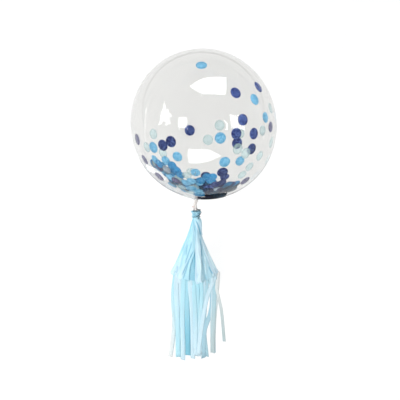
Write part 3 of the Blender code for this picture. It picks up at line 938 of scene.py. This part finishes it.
def leaf_shape(leaf, settings):
    """The shape of a leaf, for shaped_grid."""
    tints = [tint(settings, name) for name in leaf.tints]
    shaded_blue, bright, fold_shade = (tint(settings, name) for name in ("shaded_blue", "bright", "fold_shade"))
    length = leaf.last + leaf.overrun * MM / SKIRT_LENGTH

    def shape(s, t):
        ragged = leaf.ragged * MM * rough(14 * s, leaf.seed, 0.0) * smooth(4 * t - 3)
        down = t * length + ragged / SKIRT_LENGTH
        angle = math.radians(mix(along(leaf.left, t), along(leaf.right, t), s))
        out = leaf.layer * min(1.0, 3 * down + 0.3) + along(leaf.bulge, t) * smooth(1.5 * s)
        place = on_skirt(down, angle, out * MM)
        # What hangs out past the hem goes on along the run, drifts aside and sinks to the surface
        past = max(0.0, down - 1) * SKIRT_LENGTH
        place += TASSEL.along * past + Vector((leaf.drift * past, 0, -0.3 * past))
        place.z = max(place.z, FLOOR_GAP + 0.02 * MM * leaf.seed / 10)
        colour = tints[0].lerp(tints[1], smooth(2 * t)).lerp(tints[2], smooth(2 * t - 1))
        # Painted highlight on the creases' ridges and on the light folds, and painted shade in their
        # hollows and in the dark folds
        shade = 1.5 * relief(angle, down) + 0.5 * rough(6 * s, 5 * down, leaf.seed)
        colour = colour.lerp(shaded_blue, HOLLOW_SHADE * smooth(-0.1 - shade))
        colour = colour.lerp(bright, RIDGE_HIGHLIGHT * smooth(shade - 0.2))
        line = fold_line(angle, down)
        colour = colour.lerp(fold_shade if line > 0 else bright, FOLD_SHADE_AND_HIGHLIGHT * abs(line))
        return place, colour

    return shape


def leaf_cut(leaf):
    """A leaf's width at the hem and its length and area, flat and without its folds."""
    steps = 12
    widths = []
    for step in range(steps + 1):
        t = step / steps
        left, right = math.radians(along(leaf.left, t)), math.radians(along(leaf.right, t))
        angles = [mix(left, right, n / 40) for n in range(41)]
        out = along(leaf.bulge, t) * MM / 2
        places = [skirt_place(leaf.last * t, math.cos(a), math.sin(a), out) for a in angles]
        widths.append(sum((b - a).length for a, b in zip(places, places[1:])))
    length = SKIRT_LENGTH * leaf.last + leaf.overrun * MM
    return max(widths), length, sum(widths) / len(widths) * length


def under_leaves():
    """The leaves of the skirt's lower side, from its right edge round to its left one."""
    leaves = []
    left = [angle - 360 for angle in LEFT_EDGE]
    for count in range(UNDER_LEAVES):
        first, last = count / UNDER_LEAVES, (count + 1) / UNDER_LEAVES
        edges = [[mix(a, b, share) for a, b in zip(RIGHT_EDGE, left)] for share in (first, last)]
        edges[0] = [angle + 9 for angle in edges[0]]
        # The first, by the right edge, ends in grey: partly the tissue's own greyer blue, partly painted
        # shade
        tints = ("light", "light", "grey" if count == 0 else "light")
        name = f"under_leaf_{count + 1}"
        layer = -0.9 + 0.5 * (count % 2)
        leaves.append(Leaf(name, *edges, layer, -count % 3, tints, 53.0 + 9 * count))
    return leaves


def make_skirt(settings, paper):
    """The uncut part of the tissue: leaves pressed together at the waist that open to the hem."""
    made = {}
    for leaf in (*LEAVES, *under_leaves()):
        width, length, area = leaf_cut(leaf)
        body = bmesh.new()
        shaped_grid(body, max(12, round(width / LEAF_COLUMN)), LEAF_ROWS, leaf_shape(leaf, settings))
        if leaf.name == "inner_leaf":
            close_seams(body)
        piece = new_piece(leaf.name, body, paper, "tissue_paper")
        thicken(piece, settings.leaf)
        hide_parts("tissue_tassel")
        made[leaf.name] = (piece, width, length, area)
    return made


def make_head(settings, paper):
    """The middle of the tissue, twisted and doubled back: pleats that turn round a dished top."""
    light, shaded_blue = tint(settings, "light"), tint(settings, "fold_shade")

    def shape(s, t):
        angle = FULL_TURN * s
        # First the dished top, from its middle out, and then the side, down into the skirt
        if t < HEAD_TOP_SHARE:
            out = t / HEAD_TOP_SHARE
            distance, share = HEAD_DISH * (1 - out**1.5), 0.0
        else:
            share = (t - HEAD_TOP_SHARE) / (1 - HEAD_TOP_SHARE)
            out, distance = 1.0, mix(0, HEAD_LENGTH + HEAD_TUCK, share)
        down = min(distance / HEAD_LENGTH, 1.0) if share else 0.0
        radius = mix(HEAD_WIDTH, WAIST_WIDTH, smooth(down)) / 2
        radius -= (HEAD_WIDTH - HEAD_TOP_WIDTH) / 2 * (1 - smooth(down / HEAD_FLARE_SHARE))
        radius -= HEAD_PINCH * smooth(4 * share - 3)
        turned = angle + HEAD_TWIST * (1 - down) - HEAD_SWIRL * (1 - out)
        pleat = abs(math.sin(HEAD_PLEATS * turned / 2 + 1.2 * math.sin(2 * angle)))
        crumple = rough_round(turned, 3, 2.5 * down)
        dents = rough_round(turned, 9, 7 * down)
        fold = 0.75 * pleat + 0.5 * crumple + 0.25
        # A corner sticks out at the upper left, and a fold covers the string's turns
        radius += HEAD_CORNER * max(0.0, -math.cos(angle)) ** 6 * (1 - smooth(2.5 * down))
        start, middle, end = HEAD_COVER_SPAN
        cover = smooth((distance - start) / (middle - start)) * smooth((end - distance) / (end - middle))
        radius += HEAD_COVER * cover * smooth(1.1 - 1.4 * math.cos(angle + 0.2))
        radius = (radius + HEAD_PLEAT_DEPTH * (min(fold, 1.0) + dents)) * out
        # The rim of the top is crumpled, and dips on the upper side
        rim = 1 - smooth(3 * down)
        distance += HEAD_CRUMPLE * (crumple + 0.4 * pleat) * smooth(2 * out) * rim
        distance += HEAD_DIP * max(0.0, math.sin(angle)) * out * rim
        # Painted shade in the pleats' hollows and dents, and the light blue on their ridges
        colour = shaded_blue.lerp(light, smooth(0.2 + 0.6 * fold + 1.6 * dents))
        right, above = radius * math.cos(angle), HEAD_FLATNESS * radius * math.sin(angle)
        return TASSEL.at(max(distance, 0.0), right, above), colour

    body = bmesh.new()
    shaped_grid(body, HEAD_SEGMENTS, HEAD_ROWS, shape)
    close_seams(body)
    bmesh.ops.holes_fill(body, edges=[e for e in body.edges if e.is_boundary])
    face_outwards(body)
    head = new_piece("tissue_head", body, paper, "tissue_paper")
    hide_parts("tissue_tassel")
    return head


# A strip of the fringe. Its places are millimetres across from the hem's middle, at even steps from
# the hem to its end. Its reach and width are in millimetres too. Its level is its place in the hem,
# from its lower side, -1, to its upper one, 1
Strip = namedtuple("Strip", "places reach width level tints")
# Their grey and steel tints are partly the tissue's own greyer blue and partly painted shade on the
# right side, and the first strip darkens towards its end with painted shade
TOP_STRIPS = (
    Strip((-18.6, -18.4, -17.4, -16.6, -15.7), 193, 12.5, 0.86, ("light", "shaded_blue")),
    Strip((-35.4, -35.3, -34.6, -34, -33.7), 192, 10, 0.92, ("pale", "pale")),
    Strip((6.4, 7.8, 8.3, 9.9, 11.9), 192, 10, 0.88, ("light", "grey")),
    Strip((22, 22, 20.5, 19, 18), 185, 10, 0.88, ("pale", "grey")),
    Strip((29.8, 28, 24.8, 22.8, 24.5, 29.3), 195, 9, 0.8, ("grey", "grey")),
    Strip((38.2, 41, 41.3, 35.2, 24.3, 21.8, 21.2), 199, 10.5, 0.85, ("grey", "steel")),
    Strip((41.8, 42.2, 41.8, 41.4, 41), 186, 7, 0.86, ("pale", "white")),
    Strip((58, 55.5, 53, 50, 48, 46.5, 45.5), 181, 7, 0.85, ("white", "ash")),
    Strip((-46.9, -50.2, -51.8, -51, -49, -48.9, -51.1, -54.1, -57.9), 195, 9.6, 1,
          ("light", "white")),
    Strip((-42.5, -44, -43.3, -41.6, -40.4, -39.7, -39.4, -39.4), 196, 11.6, 1, ("pale", "light")),
    Strip((-26.2, -27.1, -28.1, -28.9, -29.6, -28.9, -28.2, -27.5, -27.9), 203, 11, 1,
          ("light", "pale")),
    Strip((-11.4, -10.1, -7.6, -6, -4.8, -4.3, -4.2, -4.2), 200, 11, 0.95, ("pale", "pale")),
    Strip((-2.5, -0.4, 1.9, 3, 3.7), 195, 10.4, 0.93, ("light", "pale")),
    Strip((15, 16.9, 16.5, 14.2, 12.5, 12, 12.4, 13.1), 194, 9, 0.95, ("light", "pale")),
    Strip((48.5, 48.3, 47.4, 46.3, 45.1, 44.1, 43.7, 43.3), 187, 9.6, 0.9, ("grey", "ash")),
    Strip((56.5, 54.5, 53, 57.7, 63.3, 65.9, 67.7, 69.3, 70.8), 156, 7.4, 0.9, ("white", "ash")),
    Strip((49.5, 42, 32.5, 26.2, 21.9, 18.1, 14.7, 11.8, 9.7), 195, 9.8, 0.97, ("pale", "pale")),
)
# The lowest strips by level, with each one's places across at the hem and at its end
LOW_STRIPS = (
    (-0.8, ((-46, -41), (-38, -34), (-30, -27), (-22, -20), (-14, -13), (-6, -6), (2, 2), (10, 9),
            (17, 15), (24, 20), (46, 45), (48, 44.5))),
    (0.1, ((-43, -39), (-34, -31), (-26, -24), (-18, -17), (-10, -9), (-2, -2), (6, 5), (14, 12),
           (21, 17), (46, 44.5))),
)
# The strips in between are like these, a little shorter and not quite below them
COPIED_STRIPS = TOP_STRIPS[:15]


class Bed:
    """How high the strips laid so far reach over the surface, in small cells."""

    def __init__(self):
        self.tops = {}

    def cells(self, x, y, nx, ny, width):
        for share in (-0.5, -0.25, 0.0, 0.25, 0.5):
            far = share * width
            yield share, (round((x + far * nx) / BED_CELL[0]), round((y + far * ny) / BED_CELL[1]))

    def top(self, *where):
        return max(self.tops.get(cell, 0.0) for share, cell in self.cells(*where))

    def add(self, height, crown, *where):
        for share, cell in self.cells(*where):
            top = height + crown * (1 - 4 * share**2)
            self.tops[cell] = max(self.tops.get(cell, 0.0), top)


def strip_root(t, share, upwards):
    """Where a strip lies under the leaf above it. It follows the leaf's creases."""
    under = UNDER_INNER if abs(share - NOTCH[0]) < NOTCH[1] and upwards > 0 else UNDER_HEM
    out = under + CREASE_DEPTH * t**CREASE_GROWTH * relief(math.atan2(upwards, share), t)
    return skirt_place(t, share, upwards, out)


def strip_rows(strip, share, upwards, start, length):
    """A strip's rows from under the leaf to its end: place, lowest height and share of its length."""
    rows = []
    for row in range(STRIP_ROWS + 1):
        gone = mix(-STRIP_TUCK, length, row / STRIP_ROWS)
        u = max(gone, 0.0) / length
        x = HEM_MIDDLE.x + along(strip.places, u) * MM
        base = mix(0.0, start.z, max(0.0, 1 - u / STRIP_LANDING) ** STRIP_BEND)
        y = start.y - gone
        if gone < 0:
            x, y, base = strip_root(1 + gone / SKIRT_LENGTH, share, upwards)
        rows.append((x, y, base, u))
    return rows


def ways_across(rows):
    """The way across a strip at each of its rows, along the surface."""
    ways = []
    for row in range(STRIP_ROWS + 1):
        a, b = rows[max(row - 1, 0)], rows[min(row + 1, STRIP_ROWS)]
        way = Vector((b[0] - a[0], b[1] - a[1])).normalized()
        ways.append((-way.y, way.x))
    return ways


def settle(heights, low):
    """Evens out a strip's heights along it, but sinks it into nothing that it lies on."""
    for turn in range(STRIP_SETTLING):
        for row in range(1, STRIP_ROWS):
            near = (heights[row - 1] + 2 * heights[row] + heights[row + 1]) / 4
            heights[row] = max(near, low[row])


def lay_strip(body, bed, strip, settings, chance):
    """One cut strip: out of the hem, down to what already lies there, and along it."""
    width = strip.width * MM
    share = max(-HEM_CORNER, min(HEM_CORNER, strip.places[0] * MM / (HEM_WIDTH / 2)))
    upwards = strip.level * math.sqrt(1 - share**2)
    start = strip_root(1.0, share, upwards)
    length = start.y - (HEM_MIDDLE.y - strip.reach * MM)
    crown = chance.uniform(*STRIP_CROWN) * MM
    rolls = [chance.uniform(-STRIP_ROLL, STRIP_ROLL) for count in range(6)]
    seed = chance.uniform(0, 90)
    skew = chance.uniform(-STRIP_SKEW, STRIP_SKEW) * MM

    rows = strip_rows(strip, share, upwards, start, length)
    ways = ways_across(rows)
    low = []
    for (x, y, base, u), (nx, ny) in zip(rows, ways):
        roll = abs(along(rolls, u)) * width / 2
        rest = bed.top(x, y, nx, ny, width) + roll + 1.2 * settings.leaf
        low.append(rest if u > STRIP_HELD else 0.0)
    heights = [max(row[2], rest) for row, rest in zip(rows, low)]
    settle(heights, low)
    for (x, y, base, u), (nx, ny), height in zip(rows, ways, heights):
        roll = abs(along(rolls, u)) * width / 2
        bed.add(height + 0.7 * roll + settings.leaf, 0.8 * crown * smooth(4 * u), x, y, nx, ny, width)
    near_tint, far_tint, shaded_blue = (tint(settings, name) for name in (*strip.tints, "shaded_blue"))

    def shape(s, t):
        row = min(round(t * STRIP_ROWS), STRIP_ROWS)
        x, y, base, u = rows[row]
        nx, ny = ways[row]
        far = (s - 0.5) * width
        ripple = 0.35 * MM * rough(3 * s, 9 * u, seed) * smooth(3 * u)
        rise = crown * smooth(5 * u) * (1 - (2 * s - 1) ** 2) + along(rolls, u) * far + ripple
        slant = skew * (2 * s - 1) * smooth(8 * u - 7)
        streak = rough(2.5 * s, 3 * u, seed + 5)
        # Streaks at random along the strip, darker towards the shade blue, and then painted shade over
        # the whole strip
        colour = near_tint.lerp(far_tint, smooth(u)).lerp(shaded_blue, max(0.0, 0.25 * streak))
        colour *= STRIP_SHADE
        height = max(heights[row] + rise, FLOOR_GAP)
        return Vector((x + far * nx, y + far * ny - slant, height)), colour

    shaped_grid(body, STRIP_COLUMNS, STRIP_ROWS, shape)


def make_fringe(settings, paper):
    """The cut strips of the tissue, laid from the lowest up."""
    chance = random.Random(5)
    bed = Bed()
    bodies = {"fringe_" + place: bmesh.new() for place in ("under", "left", "middle", "right")}
    for level, spans in LOW_STRIPS:
        for start, end in spans:
            places = [mix(start, end, n / 4) + chance.uniform(-0.9, 0.9) for n in range(5)]
            # Those on the right are grey and steel: partly the tissue's own greyer blue, partly painted
            # shade
            tints = ("light", "light") if start < 12 else ("grey", "steel")
            strip = Strip(places, 184 + chance.uniform(-5, 3), 9.4, level, tints)
            lay_strip(bodies["fringe_under"], bed, strip, settings, chance)
    for strip in COPIED_STRIPS:
        shift = chance.uniform(-0.7, 0.7)
        places = [place + shift + chance.uniform(-0.8, 0.8) for place in strip.places]
        reach = strip.reach + chance.uniform(-6, -1)
        lower = Strip(places, reach, strip.width, chance.uniform(0.6, 0.8), strip.tints)
        lay_strip(bodies["fringe_under"], bed, lower, settings, chance)
    for strip in TOP_STRIPS:
        first = strip.places[0]
        name = "fringe_left" if first < -12 else "fringe_middle" if first < 12 else "fringe_right"
        lay_strip(bodies[name], bed, strip, settings, chance)
    made = {}
    for name, body in bodies.items():
        piece = made[name] = new_piece(name, body, paper, "tissue_paper")
        # So much light goes through the thin strips that they hardly shade one another
        piece.visible_shadow = False
        thicken(piece, settings.leaf)
        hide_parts("tissue_tassel")
    return made


def make_tassel(settings):
    """The whole tassel: its head, its fringe, and its leaves, each a sheet gathered at the waist."""
    paper = tissue_paper(settings)
    head = make_head(settings, paper)
    leaves = make_skirt(settings, paper)
    fringe = make_fringe(settings, paper)
    with_pieces = {
        "left_leaf": [fringe["fringe_left"]],
        "middle_leaf": [fringe["fringe_middle"]],
        "right_leaf": [fringe["fringe_right"]],
        "inner_leaf": [fringe["fringe_under"], head],
    }
    for name, (piece, width, length, area) in leaves.items():
        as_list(with_pieces.get(name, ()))


def make_camera():
    """The camera at the photograph's angle, far off, so that little is foreshortened."""
    camera = bpy.data.cameras.new("camera")
    camera.sensor_width = 36
    camera.lens = camera.sensor_width * CAMERA_DISTANCE / FRAME_WIDTH
    camera.clip_end = 50
    stand = bpy.data.objects.new("camera", camera)
    turn = Matrix((PICTURE_RIGHT, PICTURE_UP, TO_CAMERA)).transposed().to_4x4()
    stand.matrix_world = Matrix.Translation(EYE) @ turn
    bpy.context.scene.collection.objects.link(stand)
    bpy.context.scene.camera = stand


# The key lamp, from the middle of the hem
KEY_PLACE = (-0.85, -0.25, 0.9)
KEY_SIZE = 0.6
# The floor's half width, and how far it lies under the balloon, so that the two don't flicker
FLOOR_REACH = 4.0
FLOOR_DROP = 0.4 * MM
# How often light may bounce: enough to go through the film, the discs and the film again, and back
BOUNCES = 24

# Dark rings on the table, which show only in the film: a band far off, which shows there as a dark arc,
# and painted shades by the balloon's outline, which darken the pile's foot and the outline in the film.
# Each has its middle, its inner and outer radius, its depth as a share of its width, where it starts and
# how far it goes round, in degrees from the front, its colour, and if it shows through the film too
UNDER_BALLOON = (CENTRE.x, CENTRE.y)
RINGS = (
    ("far_dark_band", (0, 0), (0.86, 1.15), 0.68, 75, 210, "#3A3A3A", False),
    ("foot_shade", UNDER_BALLOON, (0.125, 0.25), 1, -6, 22, "#15181F", True),
    ("foot_shade_end", UNDER_BALLOON, (0.125, 0.24), 1, 16, 7, "#323F48", True),
    ("right_shade", UNDER_BALLOON, (0.163, 0.186), 1, 23, 71, "#7C8082", False),
    ("left_shade", UNDER_BALLOON, (0.163, 0.186), 1, -80, 58, "#7C8082", False),
)
RING_STEPS = 48

# The softboxes: the way to each from the balloon's centre, its distance from there, and its corners in
# its own plane. Those called low give the second, lower reflections
SOFTBOXES = (
    ("softbox_back", (0.16, 0.535, 0.83), 0.8,
     ((-0.391, 0.119), (-0.197, -0.079), (0.013, -0.204), (0.205, -0.365), (0.338, 0.056),
      (0.125, 0.176), (-0.09, 0.268))),
    ("softbox_back_low", (-0.032, -0.94, 0.34), 1.65,
     ((0.647, 0.276), (-0.229, 0.354), (-0.8, -0.003), (-0.168, -0.225), (0.558, -0.408))),
    ("softbox_right", (0.766, -0.206, 0.609), 0.84,
     ((-0.05, 0.233), (-0.12, 0.042), (-0.038, 0.033), (0.024, -0.035), (-0.016, -0.161),
      (0.046, -0.198), (0.156, 0.086))),
    ("softbox_right_low", (-0.528, -0.372, 0.763), 1.75,
     ((0.405, 0.071), (0.127, 0.418), (-0.16, 0.18), (-0.311, 0.082), (-0.111, 0.01), (-0.001, -0.131),
      (-0.062, -0.241), (-0.017, -0.28), (0.139, -0.101))),
    ("softbox_left", (-0.83, -0.089, 0.551), 0.84,
     ((0.292, 0.024), (0.12, 0.044), (0.115, 0.123), (0.025, 0.096), (-0.02, 0.186),
      (-0.053, 0.091), (-0.184, 0.085), (-0.132, 0.031), (-0.207, -0.072), (-0.1, -0.034),
      (-0.023, -0.045), (-0.071, -0.107), (-0.076, -0.233), (0.008, -0.126), (0.127, -0.066),
      (0.192, -0.014))),
    ("softbox_left_low", (0.55, -0.336, 0.765), 1.76,
     ((-0.087, 0.22), (-0.141, 0.123), (-0.093, -0.028), (0.089, -0.222), (0.185, -0.107),
      (0.062, -0.053), (-0.016, 0.067))),
)
# The small lamps: a strip at the left, a slit at the right, and the gleam on the table by the
# balloon's lower left, each with its radiance and its corners
SMALL_LAMPS = (
    ("strip_lamp", 5.2,
     ((-0.569, 0.144, 0.200), (-0.573, 0.136, 0.233), (-0.581, -0.025, 0.163),
      (-0.551, -0.125, 0.05), (-0.547, -0.130, 0.02), (-0.579, -0.03, 0.133))),
    ("slit_lamp", 6.5, ((0.503, -0.125, 0.107), (0.504, -0.042, 0.077), (0.500, -0.081, 0.073))),
    ("floor_gleam", 4.0,
     ((-0.239, -0.096, MM), (-0.280, -0.169, MM), (-0.296, -0.229, MM), (-0.282, -0.277, MM),
      (-0.201, -0.236, MM), (-0.181, -0.194, MM), (-0.211, -0.213, MM), (-0.251, -0.202, MM),
      (-0.201, -0.125, MM), (-0.192, -0.087, MM))),
)


def show_in_film_only(piece, through=False):
    """Keeps a piece of the stage out of sight, but for its reflection and what shows through."""
    piece.visible_camera = False
    piece.visible_diffuse = False
    piece.visible_shadow = False
    piece.visible_transmission = through


def make_lamp(name, radiance, corners):
    """A flat lamp, which shows only as its reflection in the film and lights nothing else."""
    body = bmesh.new()
    body.faces.new([body.verts.new(corner) for corner in corners])
    material, tree, shader = new_material(name)
    tree.nodes.remove(shader)
    glow = add_node(tree, "ShaderNodeEmission", {"Strength": radiance})
    feed(tree, tree.nodes["Material Output"], {"Surface": glow})
    show_in_film_only(new_piece(name, body, material))


def in_plane(toward, distance, corners):
    """A softbox's corners, from those in its own plane. It faces the balloon."""
    toward = Vector(toward).normalized()
    right = toward.cross(Vector((0, 0, 1))).normalized()
    up = right.cross(toward)
    middle = CENTRE + distance * toward
    return [middle + x * right + y * up for x, y in corners]


def make_ring(name, middle, band, depth, start, sweep, colour, through):
    """A dark matt ring on the table, or a part of one, which shows only in the film."""
    body = bmesh.new()
    side = [body.verts.new((0, -radius, MM)) for radius in band]
    rim = [body.edges.new(side)]
    bmesh.ops.rotate(body, verts=side, matrix=Matrix.Rotation(math.radians(start), 3, "Z"))
    bmesh.ops.spin(body, geom=rim, axis=(0, 0, 1), angle=math.radians(sweep), steps=RING_STEPS)
    bmesh.ops.scale(body, verts=body.verts, vec=(1, depth, 1))
    bmesh.ops.translate(body, verts=body.verts, vec=(*middle, 0))
    material = new_material(name, Base_Color=linear(colour), Roughness=0.9)[0]
    show_in_film_only(new_piece(name, body, material), through)


def make_key(power):
    """The large soft lamp over the left side. It isn't mirrored in the film."""
    lamp = bpy.data.lights.new("key", "AREA")
    lamp.shape = "DISK"
    lamp.size = KEY_SIZE
    lamp.energy = power
    key = bpy.data.objects.new("key", lamp)
    turn = Vector(KEY_PLACE).to_track_quat("Z", "Y").to_matrix().to_4x4()
    key.matrix_world = Matrix.Translation(HEM_MIDDLE + Vector(KEY_PLACE)) @ turn
    key.visible_glossy = False
    key.visible_transmission = False
    bpy.context.scene.collection.objects.link(key)


def make_room(settings):
    """A bright white room. More light comes in where the film holds it back from the paper in it."""
    world = bpy.data.worlds.new("studio")
    world.use_nodes = True
    tree = world.node_tree
    path = add_node(tree, "ShaderNodeLightPath").outputs
    both = {0: path["Is Transmission Ray"], 1: path["Diffuse Depth"]}
    inside = add_node(tree, "ShaderNodeMath", both, operation="MULTIPLY", use_clamp=True)
    light = {0: inside, 1: settings.inside, 2: settings.world}
    strength = add_node(tree, "ShaderNodeMath", light, operation="MULTIPLY_ADD")
    feed(tree, tree.nodes["Background"], {"Color": (1, 1, 1, 1), "Strength": strength})
    bpy.context.scene.world = world


def make_floor(settings):
    """A matt white board with light behind it."""
    body = bmesh.new()
    bmesh.ops.create_grid(body, x_segments=1, y_segments=1, size=FLOOR_REACH)
    bmesh.ops.translate(body, verts=body.verts, vec=(0, 0, -FLOOR_DROP))
    board = new_material(
        "glowing board",
        Base_Color=linear(settings.floor),
        Roughness=0.9,
        Specular_IOR_Level=0.0,
        Emission_Color=(1, 1, 1, 1),
        Emission_Strength=settings.glow,
    )[0]
    new_piece("floor", body, board)


def make_stage(settings):
    """The room and the floor, the lamps, the dark rings and the camera."""
    scene = bpy.context.scene
    scene.view_settings.view_transform = "Standard"
    scene.cycles.max_bounces = BOUNCES
    scene.cycles.transmission_bounces = BOUNCES
    scene.cycles.blur_glossy = 0.0
    scene.cycles.use_denoising = True
    make_room(settings)
    make_floor(settings)
    for name, *plane in SOFTBOXES:
        make_lamp(name, settings.lamp, in_plane(*plane))
    for lamp in SMALL_LAMPS:
        make_lamp(*lamp)
    for ring in RINGS:
        make_ring(*ring)
    make_key(settings.key)
    make_camera()


def colour_setting(name, description, code):
    return StringProperty(name=name, description=description, default=code)


def number_setting(name, description, value, unit="NONE"):
    return FloatProperty(name=name, description=description, default=value, unit=unit)


class FilmSettings(bpy.types.PropertyGroup):
    tint: colour_setting("Tint", "What a wall lets through, as a hex colour", "#F0F0EF")
    ior: number_setting("IOR", "Refraction of the film", 1.25)
    roughness: number_setting("Roughness", "Gloss of the film", 0.0)
    wall: number_setting("Wall", "Thickness of the film", 0.3 * MM, "LENGTH")
    neck: colour_setting("Neck", "The bunched film, as a hex colour", "#D2CDCA")
    # Painted shade in the neck's folds
    neck_fold_shade: colour_setting("Neck fold", "The bunched film in its folds", "#A8A29F")
    lip: colour_setting("Lip", "The rolled lip", "#CDBCB6")


class ConfettiSettings(bpy.types.PropertyGroup):
    disc: number_setting("Disc", "Width of a paper disc", 25.4 * MM, "LENGTH")
    sky: colour_setting("Sky", "Sky blue paper, as a hex colour", "#62A8D0")
    blue: colour_setting("Blue", "Mid blue paper, as a hex colour", "#2A7EB4")
    navy: colour_setting("Navy", "Navy paper, as a hex colour", "#213176")
    aqua: colour_setting("Aqua", "Pale aqua paper, as a hex colour", "#B8D8DB")
    aqua_cover: number_setting("Aqua cover", "How much the pale discs hide", 0.39)
    # Painted shade: the grey of discs seen on their shaded side
    grey: colour_setting("Grey", "Grey blue paper, as a hex colour", "#8FA3B5")
    # Painted shade: the dark slate of discs seen on their shaded side
    slate: colour_setting("Slate", "Slate paper, as a hex colour", "#45466F")


class StringSettings(bpy.types.PropertyGroup):
    thread: colour_setting("Thread", "The thread, as a hex colour", "#1D2930")
    thread_light: colour_setting("Light", "The thread where it catches the light", "#3C4B55")


class TissueSettings(bpy.types.PropertyGroup):
    light: colour_setting("Light", "Tissue with light through it, as a hex colour", "#C1ECF8")
    pale: colour_setting("Pale", "The palest blue leaves", "#D9F0FA")
    white: colour_setting("White", "The nearly white strips", "#ECF2F4")
    # Painted shade: the deeper blue between the leaves, in the creases' hollows and on darker parts of
    # the strips
    shaded_blue: colour_setting("Deep", "Tissue between leaves", "#8CD0E4")
    # Partly the tissue's own greyer blue, partly painted shade on the right side, away from the light
    grey: colour_setting("Grey", "The right side's leaves", "#BCE0EC")
    # Partly the tissue's own steel blue, partly painted shade on the right side's lower strips
    steel: colour_setting("Steel", "The right side's lower strips", "#B6DAE8")
    ash: colour_setting("Ash", "The grey strips", "#CADBDF")
    upper: colour_setting("Upper", "The tissue by the waist", "#A6DDEE")
    # Painted shade in the sharp folds and in the head's pleats
    fold_shade: colour_setting("Crease", "Tissue in a sharp fold", "#74B8D2")
    bright: colour_setting("Bright", "Tissue where a crease catches the light", "#E4FAFF")
    leaf: number_setting("Leaf", "Thickness of a leaf", 0.18 * MM, "LENGTH")
    translucency: number_setting("Translucency", "Share of light that comes through", 0.25)


class StageSettings(bpy.types.PropertyGroup):
    floor: colour_setting("Floor", "Colour of the floor", "#707070")
    glow: number_setting("Glow", "Light from below the floor", 0.88)
    world: number_setting("World", "Light from all sides", 0.75)
    inside: number_setting("Inside", "More light for what the film holds", 0.9)
    lamp: number_setting("Lamp", "Radiance of the softboxes", 26.0)
    key: number_setting("Key", "Power of the key lamp in watts", 9.5)


class BALLOON_OT_film(bpy.types.Operator):
    """Build the blown film"""

    bl_idname = "balloon.film"
    bl_label = "Balloon Film"

    def execute(self, context):
        make_film(context.scene.balloon_film)
        return {"FINISHED"}


class BALLOON_OT_neck(bpy.types.Operator):
    """Build the gathered neck"""

    bl_idname = "balloon.neck"
    bl_label = "Gathered Neck"

    def execute(self, context):
        make_neck(context.scene.balloon_film)
        return {"FINISHED"}


class BALLOON_OT_confetti(bpy.types.Operator):
    """Lay the paper discs inside the film"""

    bl_idname = "balloon.confetti"
    bl_label = "Confetti"

    def execute(self, context):
        make_confetti(context.scene.balloon_confetti)
        return {"FINISHED"}


class BALLOON_OT_string(bpy.types.Operator):
    """Give the tie string its thread"""

    bl_idname = "balloon.string"
    bl_label = "Tie String"

    def execute(self, context):
        dress_string(context.scene.balloon_string)
        return {"FINISHED"}


class BALLOON_OT_tassel(bpy.types.Operator):
    """Build the tissue tassel: its head, its leaves and its fringe"""

    bl_idname = "balloon.tassel"
    bl_label = "Tissue Tassel"

    def execute(self, context):
        make_tassel(context.scene.balloon_tissue)
        return {"FINISHED"}


class BALLOON_OT_stage(bpy.types.Operator):
    """Set up the floor, the studio lights and the camera"""

    bl_idname = "balloon.stage"
    bl_label = "Stage"

    def execute(self, context):
        make_stage(context.scene.balloon_stage)
        return {"FINISHED"}


GROUPS = {
    "balloon_film": FilmSettings,
    "balloon_confetti": ConfettiSettings,
    "balloon_string": StringSettings,
    "balloon_tissue": TissueSettings,
    "balloon_stage": StageSettings,
}
OPERATORS = {
    BALLOON_OT_film: "balloon_film",
    BALLOON_OT_neck: "balloon_film",
    BALLOON_OT_confetti: "balloon_confetti",
    BALLOON_OT_string: "balloon_string",
    BALLOON_OT_tassel: "balloon_tissue",
    BALLOON_OT_stage: "balloon_stage",
}


class BALLOON_PT_parts(bpy.types.Panel):
    """Lists the balloon's pieces and their settings"""

    bl_idname = "BALLOON_PT_parts"
    bl_label = "Confetti Balloon"
    bl_space_type = "VIEW_3D"
    bl_region_type = "UI"
    bl_category = "Balloon"

    def draw(self, context):
        shown = set()
        for operator, group in OPERATORS.items():
            box = self.layout.box()
            if group not in shown:
                for setting in GROUPS[group].__annotations__:
                    box.prop(getattr(context.scene, group), setting)
            shown.add(group)
            box.operator(operator.bl_idname)


def register():
    for kind in (*GROUPS.values(), *OPERATORS, BALLOON_PT_parts):
        bpy.utils.register_class(kind)
    for name, group in GROUPS.items():
        setattr(bpy.types.Scene, name, PointerProperty(type=group))


def unregister():
    for name in GROUPS:
        delattr(bpy.types.Scene, name)
    for kind in (BALLOON_PT_parts, *OPERATORS, *GROUPS.values()):
        bpy.utils.unregister_class(kind)


def main():
    register()
    bpy.ops.balloon.film()
    bpy.ops.balloon.neck()
    bpy.ops.balloon.confetti()
    bpy.ops.balloon.string()
    bpy.ops.balloon.tassel()
    bpy.ops.balloon.stage()


if __name__ == "__main__":
    main()
